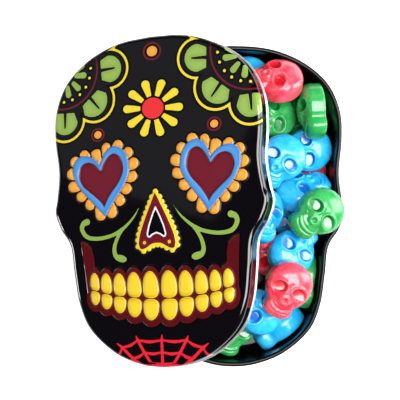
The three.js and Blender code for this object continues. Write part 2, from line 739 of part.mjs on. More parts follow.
// Those put on last, which carry the lid
const TOP_SWEET_PLACE_SHARES = [
  ["green", -0.386, 0.737, 0.85, 78, -3, 1, FIRM],
  ["red", 0.159, -0.112, 0.81, 57, 10, 26, FIRM],
  ["blue", -0.041, 0.502, 0.7, -33, 48, -70, FIRM],
  ["green", 0, -0.35, 0.9, 99, 39, 14, FIRM],
  ["blue", -0.229, 0.137, 0.9, 5, -23, 1, FIRM],
  ["red", 0.067, 0.36, 1.07, 139, -19, -29, FIRM],
  ["blue", 0.245, -0.046, 1.14, -11, -20, 20, FIRM],
  ["blue", 0.076, 0.13, 1.52, 30, -13, -16, FIRM],
];

const part = new THREE.Group();

function material(colour, roughness, metalness) {
  return new THREE.MeshStandardMaterial({ color: colour, roughness, metalness });
}

const tray = new THREE.Mesh(trayGeometry(), material(0x0c0b0e, 0.25, 0.4));
tray.name = "tray";
part.add(tray);
addToMap(tray);

// The lid leans on the tray's rim
const lid = new THREE.Mesh(lidGeometry(), material(0x15111a, 0.25, 0.4));
lid.name = "lid";
lid.position.set(LID_SHIFT_X, LID_SHIFT_Y, 0);
lid.rotation.set(degrees(LID_NOD_DEG), degrees(LID_TILT_DEG), degrees(LID_TURN_DEG), "ZYX");
lid.position.z = riseToClear(lid, neighbourCells) + REST_GAP;
lid.updateMatrixWorld(true);
part.add(lid);

const lidPlane = new THREE.Plane().setFromNormalAndCoplanarPoint(
  new THREE.Vector3(0, 0, 1).transformDirection(lid.matrixWorld),
  new THREE.Vector3(0, 0, -SHEET).applyMatrix4(lid.matrixWorld),
);

// The sweets sink into the tray under it
const sweetShape = sweetGeometry();
function addSweets(rows, firstNumber) {
  return rows.map((row, i) => {
    const [colour, acrossShare, alongShare, heightShare, turn, nod, roll, firm] = row;
    const mesh = new THREE.Mesh(sweetShape.clone(), material(COLOURS[colour], 0.2, 0));
    mesh.name = `sweet_${String(firstNumber + i).padStart(2, "0")}_${colour}`;
    mesh.position.set(
      (acrossShare * LID_WIDTH) / 2, (alongShare * LID_LENGTH) / 2, heightShare * TRAY_HEIGHT,
    );
    mesh.rotation.set(degrees(nod), degrees(roll), degrees(turn), "ZYX");
    mesh.updateMatrixWorld(true);
    part.add(mesh);
    return { mesh, home: mesh.clone(), firm };
  });
}

const heap = addSweets(SWEET_PLACE_SHARES, 1);
settlePile(heap, []);
const topSweets = addSweets(TOP_SWEET_PLACE_SHARES, heap.length + 1);
settlePile(topSweets, heap);

// Where a sweet still stands in the lid's way, it lifts the lid
for (const { mesh } of [...heap, ...topSweets]) addToMap(mesh);
const inItsWay = riseToClear(lid, sameCell);
if (inItsWay > -REST_GAP / 2) lid.position.z += inItsWay + REST_GAP;

export default part;
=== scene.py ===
# %% [markdown]
# # A skull-shaped sweet tin
# The tin is two pressed sheets of lacquered steel, an open tray and a lid that slips over it.
# Here the lid has been slid to one side and leans on the tray's rim, so the sweets in the tray show.
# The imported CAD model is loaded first. It fixes where everything is, and each piece made below stands
# for one of its nodes: the same place and the same size, with finer form and a real finish.

# %% Load the frame
import json
import math

import bmesh
import bpy
import numpy as np
from mathutils import Euler, Matrix, Vector

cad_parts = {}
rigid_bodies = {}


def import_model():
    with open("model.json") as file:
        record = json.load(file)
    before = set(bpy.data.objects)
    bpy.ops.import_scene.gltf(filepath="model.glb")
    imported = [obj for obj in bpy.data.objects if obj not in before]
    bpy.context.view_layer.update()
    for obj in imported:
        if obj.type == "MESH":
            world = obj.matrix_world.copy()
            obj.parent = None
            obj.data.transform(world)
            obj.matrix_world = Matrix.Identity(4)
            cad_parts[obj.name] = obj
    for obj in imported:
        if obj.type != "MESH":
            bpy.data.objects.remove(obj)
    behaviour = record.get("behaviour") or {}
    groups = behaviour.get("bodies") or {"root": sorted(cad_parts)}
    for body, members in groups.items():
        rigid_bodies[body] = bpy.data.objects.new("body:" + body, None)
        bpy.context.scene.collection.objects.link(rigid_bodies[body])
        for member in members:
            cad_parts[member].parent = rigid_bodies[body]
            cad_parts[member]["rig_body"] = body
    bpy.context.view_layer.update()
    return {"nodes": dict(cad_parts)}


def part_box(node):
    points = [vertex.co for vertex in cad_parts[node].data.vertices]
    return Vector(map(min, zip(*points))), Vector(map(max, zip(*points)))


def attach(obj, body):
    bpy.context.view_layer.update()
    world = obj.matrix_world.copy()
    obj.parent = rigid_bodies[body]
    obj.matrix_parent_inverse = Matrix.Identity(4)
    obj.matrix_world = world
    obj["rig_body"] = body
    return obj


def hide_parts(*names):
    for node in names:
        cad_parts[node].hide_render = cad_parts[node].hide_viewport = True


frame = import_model()
MM = 0.001

# %% [markdown]
# ## Camera
# The photograph looks straight down on the tin. How much smaller the low edge of the leaning lid looks
# than its high edge gives the distance: about a quarter of a metre, with a lens of normal length.

# %% Camera over the tin
CAMERA_AT = Vector((-9.02, 1.68, 250.7)) * MM
LENS_MM = 78.1
SENSOR_MM = 36
camera = bpy.data.objects.new("camera", bpy.data.cameras.new("camera"))
camera.data.lens = LENS_MM
camera.data.sensor_width = SENSOR_MM
camera.location = CAMERA_AT
bpy.context.scene.collection.objects.link(camera)
bpy.context.scene.camera = camera
print("camera at mm", [round(c / MM, 1) for c in camera.location])

# %% [markdown]
# ## Helpers for meshes
# Every piece starts as a bmesh in millimetres in its own frame. When it is done, one helper places it,
# turns millimetres into metres and ties it to the frame. The place ends up in the mesh, so the object
# itself stays at the origin.

# %% Turn a bmesh into a placed piece
def piece_from(bm, name, place, material, node):
    mesh = bpy.data.meshes.new(name)
    bm.to_mesh(mesh)
    mesh.transform(Matrix.Scale(MM, 4) @ place)
    for polygon in mesh.polygons:
        polygon.use_smooth = True
    mesh.materials.append(material)
    piece = bpy.data.objects.new(name, mesh)
    bpy.context.scene.collection.objects.link(piece)
    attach(piece, frame["nodes"][node]["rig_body"])
    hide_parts(node)
    return piece


# %% [markdown]
# ## Smooth outlines
# The tin and the sweets are drawn the way a toolmaker would: a few marks down one side, mirrored, and a
# smooth curve through them. A Catmull-Rom curve passes through every mark, so the marks stay readable.

# %% Closed curve through marks
def closed_curve(marks, steps):
    points = np.array(marks, float)
    around = [np.roll(points, shift, axis=0) for shift in (1, 0, -1, -2)]
    gaps = [np.linalg.norm(around[k + 1] - around[k], axis=1, keepdims=True) ** 0.5 for k in range(3)]
    p0, p1, p2, p3 = around
    d0, d1, d2 = gaps
    out = ((p1 - p0) / d0 - (p2 - p0) / (d0 + d1) + (p2 - p1) / d1) * d1
    into = ((p2 - p1) / d1 - (p3 - p1) / (d1 + d2) + (p3 - p2) / d2) * d1
    curve = []
    for t in np.arange(steps) / steps:
        curve.append(
            p1 + out * t
            + (3 * (p2 - p1) - 2 * out - into) * t**2
            + (2 * (p1 - p2) + out + into) * t**3
        )
    return np.stack(curve, axis=1).reshape(-1, 2)


def mirrored(right_marks):
    left = [(-x, y) for x, y in right_marks[1:-1]]
    return [right_marks[0], *left, right_marks[-1], *right_marks[1:-1][::-1]]


def outward(curve):
    along = np.roll(curve, -1, axis=0) - np.roll(curve, 1, axis=0)
    normal = np.stack([along[:, 1], -along[:, 0]], axis=1)
    return normal / np.linalg.norm(normal, axis=1, keepdims=True)


# %% Outline of the tin
LID_LENGTH = 88.8
LID_WIDTH = 62.2
TIN_MARKS = [
    (0, 1), (0.37, 0.972), (0.67, 0.876), (0.868, 0.741), (0.965, 0.572), (0.977, 0.405),
    (0.952, 0.2), (0.978, 0.045), (1, -0.04), (0.947, -0.15), (0.86, -0.25), (0.83, -0.417),
    (0.79, -0.6), (0.7, -0.755), (0.46, -0.91), (0.2, -0.984), (0, -1),
]
TIN_STEPS = 12
tin_curve = closed_curve(mirrored(TIN_MARKS), TIN_STEPS) * (LID_WIDTH / 2, LID_LENGTH / 2)
tin_normal = outward(tin_curve)
print("tin outline", len(tin_curve), "points")

# %% [markdown]
# A ring at a given inset follows that curve. Where the outline bends tightly, as at the cheekbones, a
# ring that went in by the full inset would cross itself, so it is eased there and never gets as far as
# the middle of the bend.

# %% Rings inside an outline
BEND_SHARE = 0.85
BEND_POWER = 4
STRAIGHT = 1e6
TINY = 1e-6


def bends(curve, normal):
    turns = []
    for shift in (1, -1):
        other = np.roll(normal, shift, axis=0)
        cross = (other[:, 0] * normal[:, 1] - other[:, 1] * normal[:, 0]) * shift
        reach = np.linalg.norm(np.roll(curve, shift, axis=0) - curve, axis=1)
        turns.append(np.where(cross > TINY, reach / np.maximum(cross, TINY), STRAIGHT))
    return np.minimum(*turns)


def inset_ring(curve, normal, bend, inset):
    tightness = max(inset, 0) / (bend * BEND_SHARE)
    step = inset / (1 + tightness**BEND_POWER) ** (1 / BEND_POWER)
    return curve - normal * step[:, None]


tin_bend = bends(tin_curve, tin_normal)
print("tightest bend mm", round(float(tin_bend.min()), 2))

# %% [markdown]
# A pressed sheet has the same section all the way round. So the section is written as a list of steps,
# each an inset and a height, and one open ring is extruded from step to step. Each vertex remembers its
# place on the outline, and the extrusion copies that along.

# %% Extrude a ring through a section
def arc(inset, height, radius, from_deg, to_deg, steps):
    angles = np.radians(np.linspace(from_deg, to_deg, steps + 1))
    return [(inset - radius * math.cos(a), height + radius * math.sin(a)) for a in angles]


def extruded_ring(bm, edges, section, ring_at):
    place = bm.verts.layers.int["place"]
    for inset, height in section:
        grown = bmesh.ops.extrude_edge_only(bm, edges=edges)["geom"]
        ring = ring_at(inset)
        for vert in (g for g in grown if isinstance(g, bmesh.types.BMVert)):
            vert.co = (*ring[vert[place]], height)
        edges = [g for g in grown if isinstance(g, bmesh.types.BMEdge) and g.is_boundary]
    return edges


# %% [markdown]
# ## Finishes
# A few helpers come first, so that a finish reads as a list of inputs: each is a number, a colour or what
# another node gives. What more than one finish uses is a node group with named sockets, such as the faint
# waviness of a lacquer that was sprayed and baked, and the fine scuffs that any handled tin has.

# %% Fill the inputs of a node
def fill(tree, node, values):
    for socket, value in values.items():
        if isinstance(value, bpy.types.NodeSocket):
            tree.links.new(value, node.inputs[socket])
        else:
            node.inputs[socket].default_value = value
    return node


def maths(tree, operation, *values):
    node = tree.nodes.new("ShaderNodeMath")
    node.operation = operation
    return fill(tree, node, dict(enumerate(values))).outputs[0]


def noise(tree, values):
    texture = fill(tree, tree.nodes.new("ShaderNodeTexNoise"), values)
    coords = tree.nodes.new("ShaderNodeTexCoord")
    tree.links.new(coords.outputs["Object"], texture.inputs["Vector"])
    return texture.outputs["Fac"]


def ranged(tree, values):
    return fill(tree, tree.nodes.new("ShaderNodeMapRange"), values).outputs["Result"]


def mixed(tree, share, below, above):
    mix = tree.nodes.new("ShaderNodeMix")
    mix.data_type = "RGBA"
    return fill(tree, mix, {"Factor": share, "A": below, "B": above}).outputs["Result"]


def stored(tree, name):
    attribute = tree.nodes.new("ShaderNodeAttribute")
    attribute.attribute_name = name
    return attribute.outputs["Fac"]


# %% Start a node group and use it
WHITE = (1, 1, 1, 1)
SOCKET_KINDS = {float: "NodeSocketFloat", tuple: "NodeSocketColor"}


def new_group(name, inputs, output, kind):
    group = bpy.data.node_groups.new(name, "ShaderNodeTree")
    for socket, value in inputs.items():
        made = group.interface.new_socket(socket, in_out="INPUT", socket_type=SOCKET_KINDS[type(value)])
        made.default_value = value
    group.interface.new_socket(output, in_out="OUTPUT", socket_type=kind)
    given = group.nodes.new("NodeGroupInput").outputs
    return group, given, group.nodes.new("NodeGroupOutput")


def use_group(tree, group, **values):
    node = tree.nodes.new("ShaderNodeGroup")
    node.node_tree = group
    return fill(tree, node, values).outputs[0]


# %% Wavy lacquer
waves, given, waves_out = new_group(
    "lacquer_waves", {"Scale": 400.0, "Height": 0.00001}, "Normal", "NodeSocketVector"
)
ripple = noise(waves, {"Scale": given["Scale"], "Detail": 2})
height = maths(waves, "MULTIPLY", ripple, given["Height"])
raised = fill(waves, waves.nodes.new("ShaderNodeBump"), {"Strength": 1, "Height": height})
fill(waves, waves_out, {"Normal": raised.outputs["Normal"]})
print("group", waves.name)

# %% Fine scuffs
scuffs, given, scuffs_out = new_group(
    "handling_scuffs", {"Clean": 0.06, "Scuffed": 0.2, "Scale": 900.0}, "Roughness", "NodeSocketFloat"
)
patches = noise(scuffs, {"Scale": given["Scale"], "Detail": 6, "Roughness": 0.7})
spread = {"Value": patches, "From Min": 0.45, "From Max": 0.8}
rough = ranged(scuffs, {**spread, "To Min": given["Clean"], "To Max": given["Scuffed"]})
fill(scuffs, scuffs_out, {"Roughness": rough})
print("group", scuffs.name)

# %% Start a material
def new_material(name):
    material = bpy.data.materials.new(name)
    material.use_nodes = True
    return material, material.node_tree, material.node_tree.nodes["Principled BSDF"]


# A colour as a paint chart gives it, from 0 to 255, in the linear numbers that a shader takes
def paint(red, green, blue):
    share = np.array([red, green, blue]) / 255
    linear = np.where(share <= 0.04045, share / 12.92, ((share + 0.055) / 1.055) ** 2.4)
    return (*[float(c) for c in linear], 1.0)


# %% Black enamel of the tray
tray_enamel, tree, shader = new_material("tray_enamel")
tray_finish = {
    "Base Color": paint(5, 4, 6),
    "Specular IOR Level": 0.22,
    "Normal": use_group(tree, waves, Scale=350, Height=0.000012),
    "Roughness": use_group(tree, scuffs, Clean=0.1, Scuffed=0.22),
}
fill(tree, shader, tray_finish)
print("material", tray_enamel.name)

# %% [markdown]
# ## Tray
# A drawn pan: flat bottom, a rounded foot, a straight wall, and a rim that is rolled outwards so that no
# cut edge shows. The first ring is the edge of the floor inside. It is filled, and then extruded up the
# wall, over the rim, down outside and under the foot, and filled again.

# %% Tray section
HEM_ROLL = 0.4
SHEET = 0.35
SLIDE_FIT = 0.35
TRAY_HEIGHT = 17
TRAY_FOOT_RADIUS = 2.4
RIM_ROLL = 0.65
TRAY_INSET = HEM_ROLL + SHEET + SLIDE_FIT
tray_wall = 2 * RIM_ROLL - SHEET
rim_z = TRAY_HEIGHT - RIM_ROLL
foot = tray_wall + TRAY_FOOT_RADIUS
tray_section = [
    *arc(foot, TRAY_FOOT_RADIUS, TRAY_FOOT_RADIUS - SHEET, -90, 0, 8)[1:],
    *arc(RIM_ROLL, rim_z, RIM_ROLL, 180, -60, 16),
    (tray_wall, rim_z - RIM_ROLL),
    *arc(foot, TRAY_FOOT_RADIUS, TRAY_FOOT_RADIUS, 0, -90, 8),
]

# %% Make the tray
def tray_ring(inset):
    return inset_ring(tin_curve, tin_normal, tin_bend, TRAY_INSET + inset)


bm = bmesh.new()
place = bm.verts.layers.int.new("place")
first = [bm.verts.new((x, y, SHEET)) for x, y in tray_ring(foot)]
for i, vert in enumerate(first):
    vert[place] = i
edges = [bm.edges.new((a, b)) for a, b in zip(first, first[1:] + first[:1])]
last_edges = extruded_ring(bm, edges, tray_section, tray_ring)
bmesh.ops.edgeloop_fill(bm, edges=edges)
bmesh.ops.edgeloop_fill(bm, edges=last_edges)
bmesh.ops.triangulate(bm, faces=[f for f in bm.faces if len(f.verts) > 4])
bmesh.ops.recalc_face_normals(bm, faces=bm.faces)
tray = piece_from(bm, "pressed_tray", Matrix.Identity(4), tray_enamel, "tray")
bm.free()
print("tray faces", len(tray.data.polygons))

# %% [markdown]
# ## Sweets
# Every sweet comes from one mould: a round skull with a narrow jaw, a flat back and an upright side wall.
# The body starts as a ball of rings. Its rings are laid out over the domed face first, then down the side
# wall and across the back, and the face is pressed in and raised by one relief function.

# %% Sweet sizes and outline
SWEET_LENGTH = 15.3
SWEET_WIDTH = 12.4
SWEET_THICKNESS = 6.4
SWEET_MIDDLE_Y = 1.15
SWEET_MARKS = [
    (0, 1), (0.55, 0.88), (0.92, 0.5), (0.98, 0.05), (0.78, -0.32), (0.6, -0.5),
    (0.61, -0.78), (0.36, -0.97), (0, -1),
]
SWEET_STEPS = 16
sweet_curve = closed_curve(mirrored(SWEET_MARKS), SWEET_STEPS) * (SWEET_WIDTH / 2, SWEET_LENGTH / 2)
sweet_spokes = sweet_curve - (0, SWEET_MIDDLE_Y)
spoke_turn = np.arctan2(sweet_spokes[:, 1], sweet_spokes[:, 0])
order = np.argsort(spoke_turn)
spoke_turn = spoke_turn[order]
spoke_reach = np.linalg.norm(sweet_spokes, axis=1)[order]
print("sweet outline", len(sweet_curve), "points")


def reach(turn):
    return np.interp(turn, spoke_turn, spoke_reach, period=2 * math.pi)


# %% Marks of the sweet's face
EYE_X = 2.95
EYE_Y = 0.5
EYE_FLOOR = 4.9
EYE_BOWL = 0.02
EYE_MARGIN = 0.04
EYE_WALL = 0.42
# Ovals: middle, half length, half width and turn in degrees
EYE_OVAL = (EYE_X, EYE_Y, 1.85, 1.45, -14)
NOSE_OVAL = (0, -2.3, 0.6, 0.55, 0)
CHEEK_OVAL = (2.7, -2.7, 1.3, 0.6, 50)
# A lip stands this far outside its hollow, and has a height and a width
LIP_OUT = 0.42
EYE_LIP = (0.3, 0.36)
NOSE_LIP = (0.34, 0.32)
# Dips have a depth and a width
NOSE_DIP = (0.42, 0.5)
CHEEK_DIP = (0.42, 0.7)
BROW_DIP = (0.2, 0.9)
BROW_Y = 1.6
BROW_STRETCH = 1.4
# The lines of the teeth follow the edge of the jaw: how far over it, how high or deep, and how wide
JAW_LINES = [(0, -0.42, 0.26), (0.6, 0.22, 0.35), (1.15, -0.24, 0.2), (1.6, 0.12, 0.3)]
JAW_Y = -6.15
JAW_CURVE = 0.13
JAW_HALF = 2.7
JAW_FADE = 0.2
print("lines of teeth", len(JAW_LINES))


# %% Relief of the sweet's face
def ridge(distance, height, width):
    return height * np.exp(-((distance / width) ** 2))


def soft_inside(distance, width):
    t = np.clip(0.5 - distance / width, 0, 1)
    return t * t * (3 - 2 * t)


def plateau(distance, height, slope):
    return height * soft_inside(distance, slope)


def oval_distance(x, y, centre_x, centre_y, half_long, half_short, turn_deg):
    turn = math.radians(turn_deg)
    u = (x - centre_x) * math.cos(turn) + (y - centre_y) * math.sin(turn)
    v = -(x - centre_x) * math.sin(turn) + (y - centre_y) * math.cos(turn)
    return (np.sqrt((u / half_long) ** 2 + (v / half_short) ** 2) - 1) * half_short


def face_relief(x, y, skin):
    side = np.abs(x)
    eye = oval_distance(side, y, *EYE_OVAL)
    nose = oval_distance(x, y, *NOSE_OVAL)
    cheek = oval_distance(side, y, *CHEEK_OVAL)
    relief = ridge(eye - LIP_OUT, *EYE_LIP) - plateau(nose, *NOSE_DIP) + ridge(nose - LIP_OUT, *NOSE_LIP)
    relief = relief - ridge(cheek, *CHEEK_DIP)
    relief = relief - ridge(np.hypot(x / BROW_STRETCH, y - BROW_Y), *BROW_DIP)
    jaw = y - (JAW_Y + JAW_CURVE * x**2)
    in_jaw = 1 / (1 + np.exp((side - JAW_HALF) / JAW_FADE))
    for over, height, width in JAW_LINES:
        relief = relief + ridge(jaw - over, height, width) * in_jaw
    socket = soft_inside(eye - EYE_MARGIN, EYE_WALL)
    floor_height = EYE_FLOOR + EYE_BOWL * np.hypot(side - EYE_X, y - EYE_Y) ** 2
    return relief * (1 - socket) + (floor_height - skin) * socket


# %% Height of the sweet's skin from the middle out
DOME_POWERS = (2.1, 0.46)
WALL_TOP = 0.5
BEVEL_TOP = 0.14
BACK_SHARE = 0.93
SWEET_SPOKES = 112
SWEET_RINGS = 66
FACE_RINGS = 44
WALL_RINGS = 7
BEVEL_RINGS = 4
BACK_RINGS = SWEET_RINGS - FACE_RINGS - WALL_RINGS - BEVEL_RINGS
FACE_POWER = 6


# How far out a ring of the ball goes, how high, and how much of the face's relief it takes, all as shares
def skin_place(ring):
    if ring <= FACE_RINGS:
        share = math.sin(0.5 * math.pi * ring / FACE_RINGS)
        dome = max(1 - share ** DOME_POWERS[0], 0) ** DOME_POWERS[1]
        return share, WALL_TOP + (1 - WALL_TOP) * dome, 1 - share**FACE_POWER
    ring -= FACE_RINGS
    if ring <= WALL_RINGS:
        return 1, WALL_TOP - (WALL_TOP - BEVEL_TOP) * ring / WALL_RINGS, 0
    ring -= WALL_RINGS
    if ring <= BEVEL_RINGS:
        turn = 0.5 * math.pi * ring / BEVEL_RINGS
        return 1 - (1 - BACK_SHARE) * (1 - math.cos(turn)), BEVEL_TOP * (1 - math.sin(turn)), 0
    return BACK_SHARE * (1 - (ring - BEVEL_RINGS) / BACK_RINGS), 0, 0


# %% Mould one sweet
mould = bmesh.new()
bmesh.ops.create_uvsphere(mould, u_segments=SWEET_SPOKES, v_segments=SWEET_RINGS, radius=1)
hollow = mould.verts.layers.float.new("hollow")
for vert in mould.verts:
    polar = math.acos(max(-1, min(1, vert.co.z)))
    share, height, face = skin_place(round(polar / math.pi * SWEET_RINGS))
    turn = math.atan2(vert.co.y, vert.co.x)
    far = float(reach(turn)) * share
    x, y = far * math.cos(turn), SWEET_MIDDLE_Y + far * math.sin(turn)
    depth = float(face_relief(np.array(x), np.array(y), height * SWEET_THICKNESS)) * face
    vert.co = (x, y, (height - 0.5) * SWEET_THICKNESS + depth)
    vert[hollow] = depth
bmesh.ops.recalc_face_normals(mould, faces=mould.faces)
print("sweet faces", len(mould.faces))

# %% [markdown]
# Each CAD sweet lies in the heap at its own angle. Its flat back is the largest flat in its mesh, so the
# back's normal gives one axis. In the back's plane the sweet is longer than it is wide, and it is heavier
# towards the crown, which gives the other two.

# %% Find how a CAD sweet lies
RIM_HEIGHT_SHARE = 0.16
RIM_BAND_SHARE = 0.2
END_SHARE = 0.2


def lie_of(node):
    mesh = frame["nodes"][node].data
    points = np.array([v.co for v in mesh.vertices]) / MM
    flats = {}
    for polygon in mesh.polygons:
        key = tuple(round(c, 2) for c in polygon.normal)
        flats[key] = flats.get(key, 0) + polygon.area
    back = Vector(max(flats, key=flats.get)).normalized()
    face = np.array(-back)
    height = points @ face
    over_rim = height - height.min() - RIM_HEIGHT_SHARE * SWEET_THICKNESS
    rim = points[np.abs(over_rim) < RIM_BAND_SHARE * SWEET_THICKNESS]
    flat = rim - np.outer(rim @ face, face)
    flat = np.unique(np.round(flat, 2), axis=0)
    spread = np.cov((flat - flat.mean(0)).T)
    across, up = np.linalg.eigh(spread)[1][:, 1:].T
    along = flat @ up
    wide = flat @ across
    half = (along.max() + along.min()) / 2
    crown_width = np.ptp(wide[along > half + END_SHARE * SWEET_LENGTH])
    chin_width = np.ptp(wide[along < half - END_SHARE * SWEET_LENGTH])
    if chin_width > crown_width:
        up, half = -up, -half
    right = np.cross(up, face)
    centre = up * half + right * (((flat @ right).max() + (flat @ right).min()) / 2)
    centre = centre + face * (height.min() + SWEET_THICKNESS / 2)
    lie = np.identity(4)
    lie[:3] = np.stack((right, up, face, centre), axis=1)
    return Matrix(lie.tolist())


print("sweet_27_green lies at", [round(c, 2) for c in lie_of("sweet_27_green").to_translation()])

# %% [markdown]
# Boiled sugar is dyed right through, a little cloudy, slightly see-through and very glossy. A noise makes
# the clouds, light catches under the skin through a little subsurface, and the hollows of the face get a
# darker tone that is painted shade. The sweets rub against each other, so only the hollows keep a full
# shine.

# %% Cloudy sugar with painted shade in its hollows
FULL_SHADE_DEPTH = -0.9
clouds, given, clouds_out = new_group(
    "sugar_clouds_and_hollow_shade",
    {"Clear": WHITE, "Milky": WHITE, "Deep": WHITE, "Scale": 260.0, "Amount": 0.5},
    "Color",
    "NodeSocketColor",
)
swirl = noise(clouds, {"Scale": given["Scale"], "Detail": 4, "Distortion": 1.2})
veil = ranged(clouds, {"Value": swirl, "From Min": 0.4, "From Max": 0.75})
cloudiness = maths(clouds, "MULTIPLY", veil, given["Amount"])
cloudy = mixed(clouds, cloudiness, given["Clear"], given["Milky"])
# Painted shade: the deeper a hollow of the face, the more of the deep tone it gets
painted_hollow_shade = ranged(clouds, {"Value": stored(clouds, "hollow"), "From Min": 0, "From Max": FULL_SHADE_DEPTH})
fill(clouds, clouds_out, {"Color": mixed(clouds, painted_hollow_shade, cloudy, given["Deep"])})
print("group", clouds.name)

# %% Sugar materials
SKIN_SHINE = 0.4
# Down to the first depth the shine is rubbed, and from the second on it is whole
RUBBED_TO = -0.25
WHOLE_FROM = -0.7
# Three tones of each colour: the clear and milky dye, and a deep tone that is painted shade in the hollows
SUGAR_DYES_AND_SHADE = {
    "blue": ((28, 172, 234), (96, 212, 246), (0, 106, 190)),
    "red": ((240, 60, 80), (250, 132, 148), (206, 16, 36)),
    "green": ((40, 160, 78), (104, 194, 122), (0, 122, 48)),
}


def sugar(colour):
    clear, milky, deep = [paint(*tone) for tone in SUGAR_DYES_AND_SHADE[colour]]
    material, tree, shader = new_material("sugar_" + colour)
    shine = {
        "Value": stored(tree, "hollow"),
        "From Min": RUBBED_TO,
        "From Max": WHOLE_FROM,
        "To Min": SKIN_SHINE,
        "To Max": 1,
    }
    finish = {
        "Base Color": use_group(tree, clouds, Clear=clear, Milky=milky, Deep=deep),
        "Subsurface Weight": 0.25,
        "Subsurface Radius": (0.6, 0.6, 0.6),
        "Subsurface Scale": 0.002,
        "Coat Weight": ranged(tree, shine),
        "Coat Roughness": 0.05,
        "Normal": use_group(tree, waves, Scale=500, Height=0.00006),
        "Roughness": use_group(tree, scuffs, Clean=0.2, Scuffed=0.4, Scale=700),
    }
    fill(tree, shader, finish)
    return material


sugars = {colour: sugar(colour) for colour in SUGAR_DYES_AND_SHADE}
print("materials", sorted(sugars))

# %% Lay the sweets in the heap
sweet_nodes = sorted(name for name in frame["nodes"] if name.startswith("sweet_"))
for node in sweet_nodes:
    colour = node.split("_")[-1]
    moulded = node.replace("sweet", "skull_sweet")
    piece_from(mould, moulded, lie_of(node), sugars[colour], node)
mould.free()
print("sweets", len(sweet_nodes))

# %% [markdown]
# ## Lid
# The lid is one pressed sheet with a printed picture: a traditional festival skull with heart-shaped
# eyes, a daisy, corner flowers, scrolls, teeth and a web. The eyes, nose and teeth are also embossed. The
# print and the pressing follow the same outlines. So each ornament is written once as a distance in
# millimetres to its edge, and the same distance raises the sheet and colours it.

# %% Distances to simple shapes
def to_circle(x, y, centre, radius):
    return np.hypot(x - centre[0], y - centre[1]) - radius


def to_line(x, y, start, end, start_radius, end_radius):
    ax, ay = x - start[0], y - start[1]
    bx, by = end[0] - start[0], end[1] - start[1]
    along = np.clip((ax * bx + ay * by) / (bx * bx + by * by), 0, 1)
    radius = start_radius + (end_radius - start_radius) * along
    return np.hypot(ax - along * bx, ay - along * by) - radius


def to_polygon(x, y, corners):
    corners = np.asarray(corners, float)
    edges = list(zip(corners, np.roll(corners, -1, axis=0)))
    nearest = np.minimum.reduce([to_line(x, y, start, end, 0, 0) for start, end in edges])
    inside = np.zeros(x.shape, bool)
    for (ax, ay), (bx, by) in edges:
        crosses = (ay > y) != (by > y)
        with np.errstate(divide="ignore", invalid="ignore"):
            at = ax + (y - ay) * (bx - ax) / (by - ay)
        inside ^= crosses & (x < at)
    return np.where(inside, -nearest, nearest)


# %% Curves and strokes through marks
STROKE_STEPS = 7


def spans_through(marks, shares):
    marks = np.array(marks, float)
    ends = np.vstack([2 * marks[0] - marks[1], marks, 2 * marks[-1] - marks[-2]])
    t = shares[:, None]
    spans = []
    for p0, p1, p2, p3 in zip(ends, ends[1:], ends[2:], ends[3:]):
        bend = 2 * p0 - 5 * p1 + 4 * p2 - p3
        twist = 3 * p1 - p0 - 3 * p2 + p3
        spans.append(0.5 * (2 * p1 + (p2 - p0) * t + bend * t**2 + twist * t**3))
    return spans


def smooth_side(marks, steps=4):
    return np.vstack(spans_through(marks, np.arange(steps) / steps))


# Each mark of a stroke has its place and the half width that the stroke has there
def to_stroke(x, y, marks):
    marks = np.array(marks, float)
    spans = spans_through(marks[:, :2], np.linspace(0, 1, STROKE_STEPS))
    lines = []
    for span, start_radius, end_radius in zip(spans, marks[:, 2], marks[1:, 2]):
        radii = np.linspace(start_radius, end_radius, STROKE_STEPS)
        for start, end, radius, next_radius in zip(span, span[1:], radii, radii[1:]):
            lines.append(to_line(x, y, start, end, radius, next_radius))
    return np.minimum.reduce(lines)


# %% [markdown]
# Daisy and corner flowers need no outlines of their own. A petal is a line with round ends and two half
# widths, a leaf is a circle that straight sides cut, and the yellow border goes round a few circles.

# %% Daisy on the forehead
DAISY = (0.14, 24.45)
DAISY_STRETCH = (1.03, 0.93)
DAISY_HEART = 3.02
DAISY_GAP = 0.5
DAISY_PETALS = 10
DAISY_TURN = -0.06
# A petal: how far from the middle it starts and ends, and its half width there
DAISY_ROOT, DAISY_TIP = 3.4, 7.25
DAISY_PETAL = (0.62, 1.15)


def daisy(x, y):
    x, y = (x - DAISY[0]) / DAISY_STRETCH[0], (y - DAISY[1]) / DAISY_STRETCH[1]
    heart = to_circle(x, y, (0, 0), DAISY_HEART)
    petals = []
    for k in range(DAISY_PETALS):
        turn = 2 * math.pi * k / DAISY_PETALS + DAISY_TURN
        way = np.array([math.cos(turn), math.sin(turn)])
        petals.append(to_line(x, y, DAISY_ROOT * way, DAISY_TIP * way, *DAISY_PETAL))
    return heart, np.maximum(np.minimum.reduce(petals), -(heart - DAISY_GAP))


# %% Flower in each upper corner
FLOWER_MIDDLE = (27.1, 37.3)
FLOWER_DISC = 13.6
TOP_LOBE = ((14.9, 46.45), 5.6)
# Each leaf: where it starts and points to, half its inner end, how its sides widen, where along it
# the round end has its middle and how large that is, and the same two for the yellow lobe round it
LEAVES = [
    ((15.25, 36.25), -183, 2.68, 0.41, 2.35, 3.65, (2.55, 0), 5.3),
    ((18.85, 29.0), -129.6, 3.05, 0.54, 0.95, 4.5, (1.3, -0.46), 5.98),
    ((26.75, 25.5), -87.5, 2.8, 0.42, 2.05, 3.9, (2.0, 0), 5.85),
]
# The slit of a leaf, along it: from, to, and its half width at both
LEAF_SLIT = ((-1, 0), (4, 0), 0.55, 0.26)
SMALL_PETALS = [
    ((23.0, 35.55), (20.6, 35.5)), ((23.85, 33.55), (22.5, 32.15)),
    ((25.75, 32.6), (25.5, 30.55)), ((22.4, 37.2), (21.15, 38.2)),
]
SMALL_PETAL = (0.62, 0.85)
FLOWER_ARC = 10.65
DOT_ARC = 8.68
DOT_RADIUS = 0.4
DOT_TURNS_DEG = [-90.7 - 17.7 * k for k in range(-1, 7)]
# Half widths of the drawn lines
YELLOW_LINE = 0.32
WINE_LINE = 0.26


